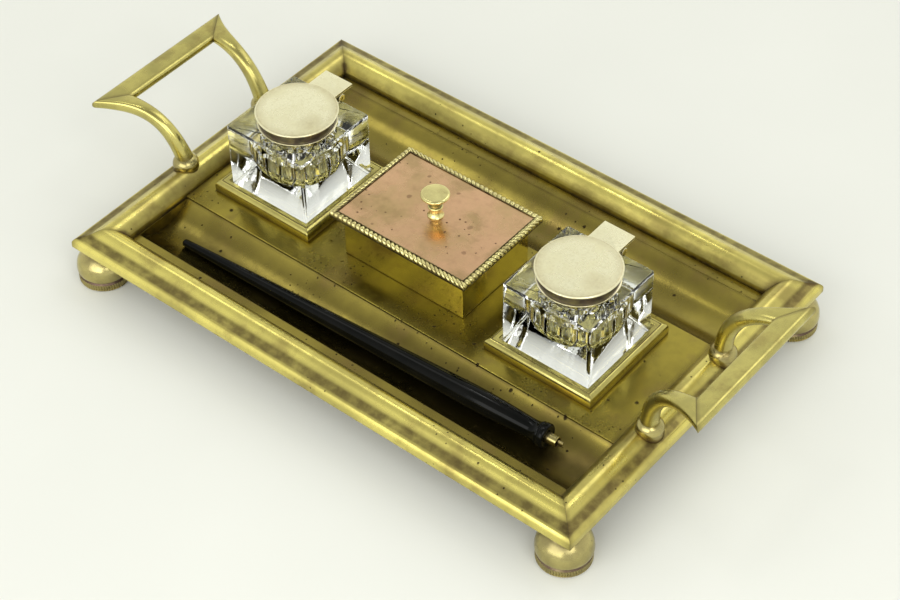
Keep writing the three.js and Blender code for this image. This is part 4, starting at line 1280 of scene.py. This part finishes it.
def knob_shape():
    """A turned knob: stem through the panel, foot, waist, ring, bell and a nearly flat top."""
    foot_z = LID_PANEL_TOP
    top = foot_z + KNOB_HEIGHT
    low = LID_BOTTOM - 2.6
    r = KNOB_RADIUS

    def above(*points):
        return [(radius, foot_z + rise) for radius, rise in points]

    def below_top(*points):
        return [(r - inset, top - fall) for inset, fall in points]

    stem = fillet([(1.8, low), *above((1.8, 0), (4.0, 0), (4.0, 0.5))], 0.12)
    waist = spline(above((4.0, 0.5), (3.5, 1.0), (2.7, 2.3), (2.45, 3.6), (2.7, 4.6)))
    ring = fillet(above((2.7, 4.7), (3.5, 4.9), (3.75, 5.5), (3.5, 6.1), (2.7, 6.3)), 0.3)
    bell = above((2.6, 6.4), (2.6, 7.2), (3.3, 8.8), (5.0, 10.6))
    bell = spline(bell + below_top((0.5, 2.0)))
    rim = fillet(below_top((0.5, 2.0), (0, 1.5), (0, 0.7), (0.7, 0.2), (1.5, 0.1)), 0.3)[1:]
    disc = spline([(r - 1.5, top - 0.1), (r * 0.5, top - 0.03), (0, top)])[1:]

    # Painted shade on the waist above and below the ring, and a painted contact shadow at the foot on the
    # panel.
    def tone(radius, height):
        if foot_z + 4.4 < height < foot_z + 6.5 and radius < 3.3:
            return 0.8
        return 0.5 if height < foot_z + 0.4 else 0.0

    path = [(0, low)] + stem + waist + ring + bell + rim + disc
    return lathe(path, 72, tone_at=tone)


def add_stamp_box():
    place = Matrix.Translation(tray_middle("stamp_box_body"))
    make("stamp_box_shell", box_shape().moved(place), box_side, "tray", ["stamp_box_body"])
    lid = "stamp_box_lid"
    make("lid_tray", lid_tray_shape().moved(place), box_side, lid, ["stamp_box_lid_base"])
    x, y = LID_HALF_X - LID_BORDER, LID_HALF_Y - LID_BORDER
    panel = slab((-x, -y, LID_PANEL_BOTTOM), (x, y, LID_PANEL_TOP), 0.3)
    make("lid_copper_panel", panel.moved(place), copper, lid, ["stamp_box_lid_panel"])
    make("lid_border_band", border_strip_shape().moved(place), rope, lid)
    make("lid_rope", rope_shape().moved(place), rope, lid, ["stamp_box_lid_border"], 60)
    make("lid_knob", knob_shape().moved(place), rope, lid, ["stamp_box_lid_knob"])


# ---- pen ----


def pen_matrix():
    """Turns a shape built up from the origin along Z to lie from the pen's tail to its head."""
    axis = PEN_HEAD - PEN_TAIL
    turn = Vector((0, 0, 1)).rotation_difference(axis.normalized())
    return Matrix.Translation(PEN_TAIL) @ turn.to_matrix().to_4x4()


def holder_shape(length):
    """The turned holder, from its thin tail to the collar with the ferrule's socket in its end."""
    body = []
    steps = 30
    for i in range(steps + 1):
        share = i / steps
        radius = PEN_TAIL_RADIUS + (PEN_BARREL_RADIUS - PEN_TAIL_RADIUS) * share ** 0.9
        body.append((radius, 1.5 + share * (length * 0.8 - 1.5)))
    tail = spline([(0, 0), (PEN_TAIL_RADIUS * 0.6, 0.2), (PEN_TAIL_RADIUS * 0.92, 0.8), body[0]], 5)
    r, socket = PEN_COLLAR_RADIUS, FERRULE_RADIUS + 0.15

    def from_end(*points):
        return [(radius, length - back) for radius, back in points]

    waist = [body[-1], (5.6, length * 0.85), (5.1, length * 0.91)]
    waist = spline(waist + from_end((4.6, 10), (4.8, 6.6), (5.75, 4.4)))[1:]
    lip = from_end(
        (5.75, 4.4), (5.45, 4.0), (5.5, 3.5), (r - 0.05, 3.0), (r, 1.0), (r - 0.5, 0.25), (r - 1.3, 0.05),
        (r - 1.9, 0.5), (socket + 0.5, 0.6), (socket, 1.0), (socket, 6), (0, 6),
    )
    lip = fillet(lip, 0.35, 4)[1:]
    return lathe(tail[:-1] + body + waist + lip, 64)


def ferrule_shape(length):
    """A thin tube that stands out of the holder's end."""
    r, end = FERRULE_RADIUS, length + FERRULE_LENGTH
    bore = r - 0.55
    path = [(0, length - 5.6), (r, length - 5.6), (r, end, 0.2), (bore, end, 0.2), (bore, length), (0, length)]

    # Painted shade on the part inside the holder's socket and inside the bore.
    def tone(radius, z):
        return 0.9 if z < length + 0.8 or radius < r - 0.3 else 0.1

    return lathe(fillet(path, 0.1), 48, tone_at=tone)


def nib_shape(length):
    """The stub of a steel nib: a curved tongue with a slit."""
    shape = Shape()
    start, end = length + 0.3, length + FERRULE_LENGTH + NIB_LENGTH - 0.1
    for low, high in ((-62, -5), (5, 62)):
        rings = []
        for i in range(9):
            z = start + (end - start) * i / 8
            grow = max(0.0, i / 8 - 0.7) * 0.6
            points = []
            for radius, way in ((1.85 + grow, 1), (1.5 + grow, -1)):
                angles = [low + (high - low) * k / 8 for k in range(9)][::way]
                for angle in angles:
                    a = math.radians(angle)
                    points.append((radius * math.sin(a), -radius * math.cos(a) + 1.0, z))
            rings.append(shape.ring(points, 0.3))
        shape.tube(rings)
    return shape


def add_pen():
    length = (PEN_HEAD - PEN_TAIL).length
    place = pen_matrix()
    make("holder_black", holder_shape(length).moved(place), black, "pen", ["pen_holder"])
    make("ferrule_tube", ferrule_shape(length).moved(place), gilt, "pen", ["pen_ferrule"])
    make("nib_stub", nib_shape(length).moved(place), gilt, "pen", ["pen_nib"], 40)


# ---- nodes that keep their CAD shape ----


def dress_cad_nodes():
    """Gives the gussets, screws and nuts, which keep their CAD shape, a dull brass."""
    kept = ("corner_gusset", "gallery_screw", "stamp_box_screw", "stamp_box_lid_nut")
    for name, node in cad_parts.items():
        if name.startswith(kept) or "_nut_" in name:
            for entry in node.material_slots:
                entry.material = hidden


# ---- stage, light and camera ----

CAMERA_AZIMUTH = math.radians(39.84)
CAMERA_ELEVATION = math.radians(45.04)
CAMERA_ROLL = math.radians(-1.08)
CAMERA_DISTANCE = 1.04617
CAMERA_TARGET = Vector((0.01984, -0.01267, 0.01818))
CAMERA_LENS = 88.9


def add_camera():
    """Looks at the target from the azimuth and elevation above, with a slight roll."""
    a, e, roll = CAMERA_AZIMUTH, CAMERA_ELEVATION, CAMERA_ROLL
    back = Vector((math.sin(a) * math.cos(e), -math.cos(a) * math.cos(e), math.sin(e)))
    right = Vector((0, 0, 1)).cross(back).normalized()
    up = back.cross(right)
    across = right * math.cos(roll) + up * math.sin(roll)
    over = up * math.cos(roll) - right * math.sin(roll)
    turn = Matrix((across, over, back)).transposed().to_4x4()
    data = bpy.data.cameras.new("photo_view")
    data.lens = CAMERA_LENS
    data.sensor_width = 36
    camera = bpy.data.objects.new("photo_view", data)
    bpy.context.scene.collection.objects.link(camera)
    camera.matrix_world = Matrix.Translation(CAMERA_TARGET + back * CAMERA_DISTANCE) @ turn
    bpy.context.scene.camera = camera


def add_floor():
    """A flat round table top, in metres."""
    shape = Shape()
    angles = [math.pi * i / 32 for i in range(64)]
    rings = [
        shape.ring([(r * math.cos(a), r * math.sin(a), 0) for a in angles]) for r in (0.4, 1.0, 2.0, 4.0)
    ]
    shape.skin(rings)
    shape.cap(rings[0])
    mesh = bpy.data.meshes.new("table_top")
    mesh.from_pydata([tuple(p) for p in shape.points], [], shape.faces)
    mesh.materials.append(pale_floor())
    floor = bpy.data.objects.new("table_top", mesh)
    bpy.context.scene.collection.objects.link(floor)


def add_softbox(name, place, size, power, aim=(0, 0, 0.02), colour=(1, 1, 0.97)):
    data = bpy.data.lights.new(name, "AREA")
    data.shape = "RECTANGLE"
    data.size, data.size_y = size
    data.energy = power
    data.color = colour
    light = bpy.data.objects.new(name, data)
    bpy.context.scene.collection.objects.link(light)
    light.location = place
    light.rotation_mode = "QUATERNION"
    light.rotation_quaternion = (Vector(aim) - Vector(place)).to_track_quat("-Z", "Y")


def add_world():
    """A studio shell: white all round and a little dimmer overhead."""
    world = bpy.data.worlds.new("studio")
    bpy.context.scene.world = world
    world.use_nodes = True
    nodes, links = world.node_tree.nodes, world.node_tree.links
    place = nodes.new("ShaderNodeTexCoord")
    split = nodes.new("ShaderNodeSeparateXYZ")
    ramp = nodes.new("ShaderNodeValToRGB")
    links.new(place.outputs["Generated"], split.inputs[0])
    links.new(split.outputs["Z"], ramp.inputs["Fac"])
    stops = [(0.0, 1.0), (0.3, 0.97), (0.6, 0.88), (0.8, 0.66), (1.0, 0.4)]
    entries = ramp.color_ramp.elements
    for i, (spot, level) in enumerate(stops):
        entry = entries[i] if i < 2 else entries.new(spot)
        entry.position = spot
        entry.color = (level * 0.99, level, level * 0.93, 1)
    links.new(ramp.outputs["Color"], nodes["Background"].inputs["Color"])
    nodes["Background"].inputs["Strength"].default_value = 1.0


def add_lights():
    add_world()
    add_softbox("key_left", (-0.85, 0.1, 1.45), (0.45, 0.45), 0.9)
    add_softbox("lamp_back", (-0.62, 0.3, 1.5), (0.14, 0.14), 0.5)
    add_softbox("lamp_side", (0.5, 0.62, 1.3), (0.14, 0.14), 0.5)
    add_softbox("fill_right", (1.0, -0.5, 1.1), (0.7, 0.7), 5)
    add_softbox("top_strip", (0.1, 0.9, 1.2), (0.6, 0.9), 2.0)
    add_softbox("front_fill", (0.1, -1.3, 0.8), (1.4, 0.8), 9)


# ---- everything ----

bpy.context.scene.view_settings.view_transform = "Standard"
add_camera()
add_rim()
add_liner_and_platform()
add_feet()
add_handles()
add_inkwells()
add_stamp_box()
add_pen()
dress_cad_nodes()
add_floor()
add_lights()
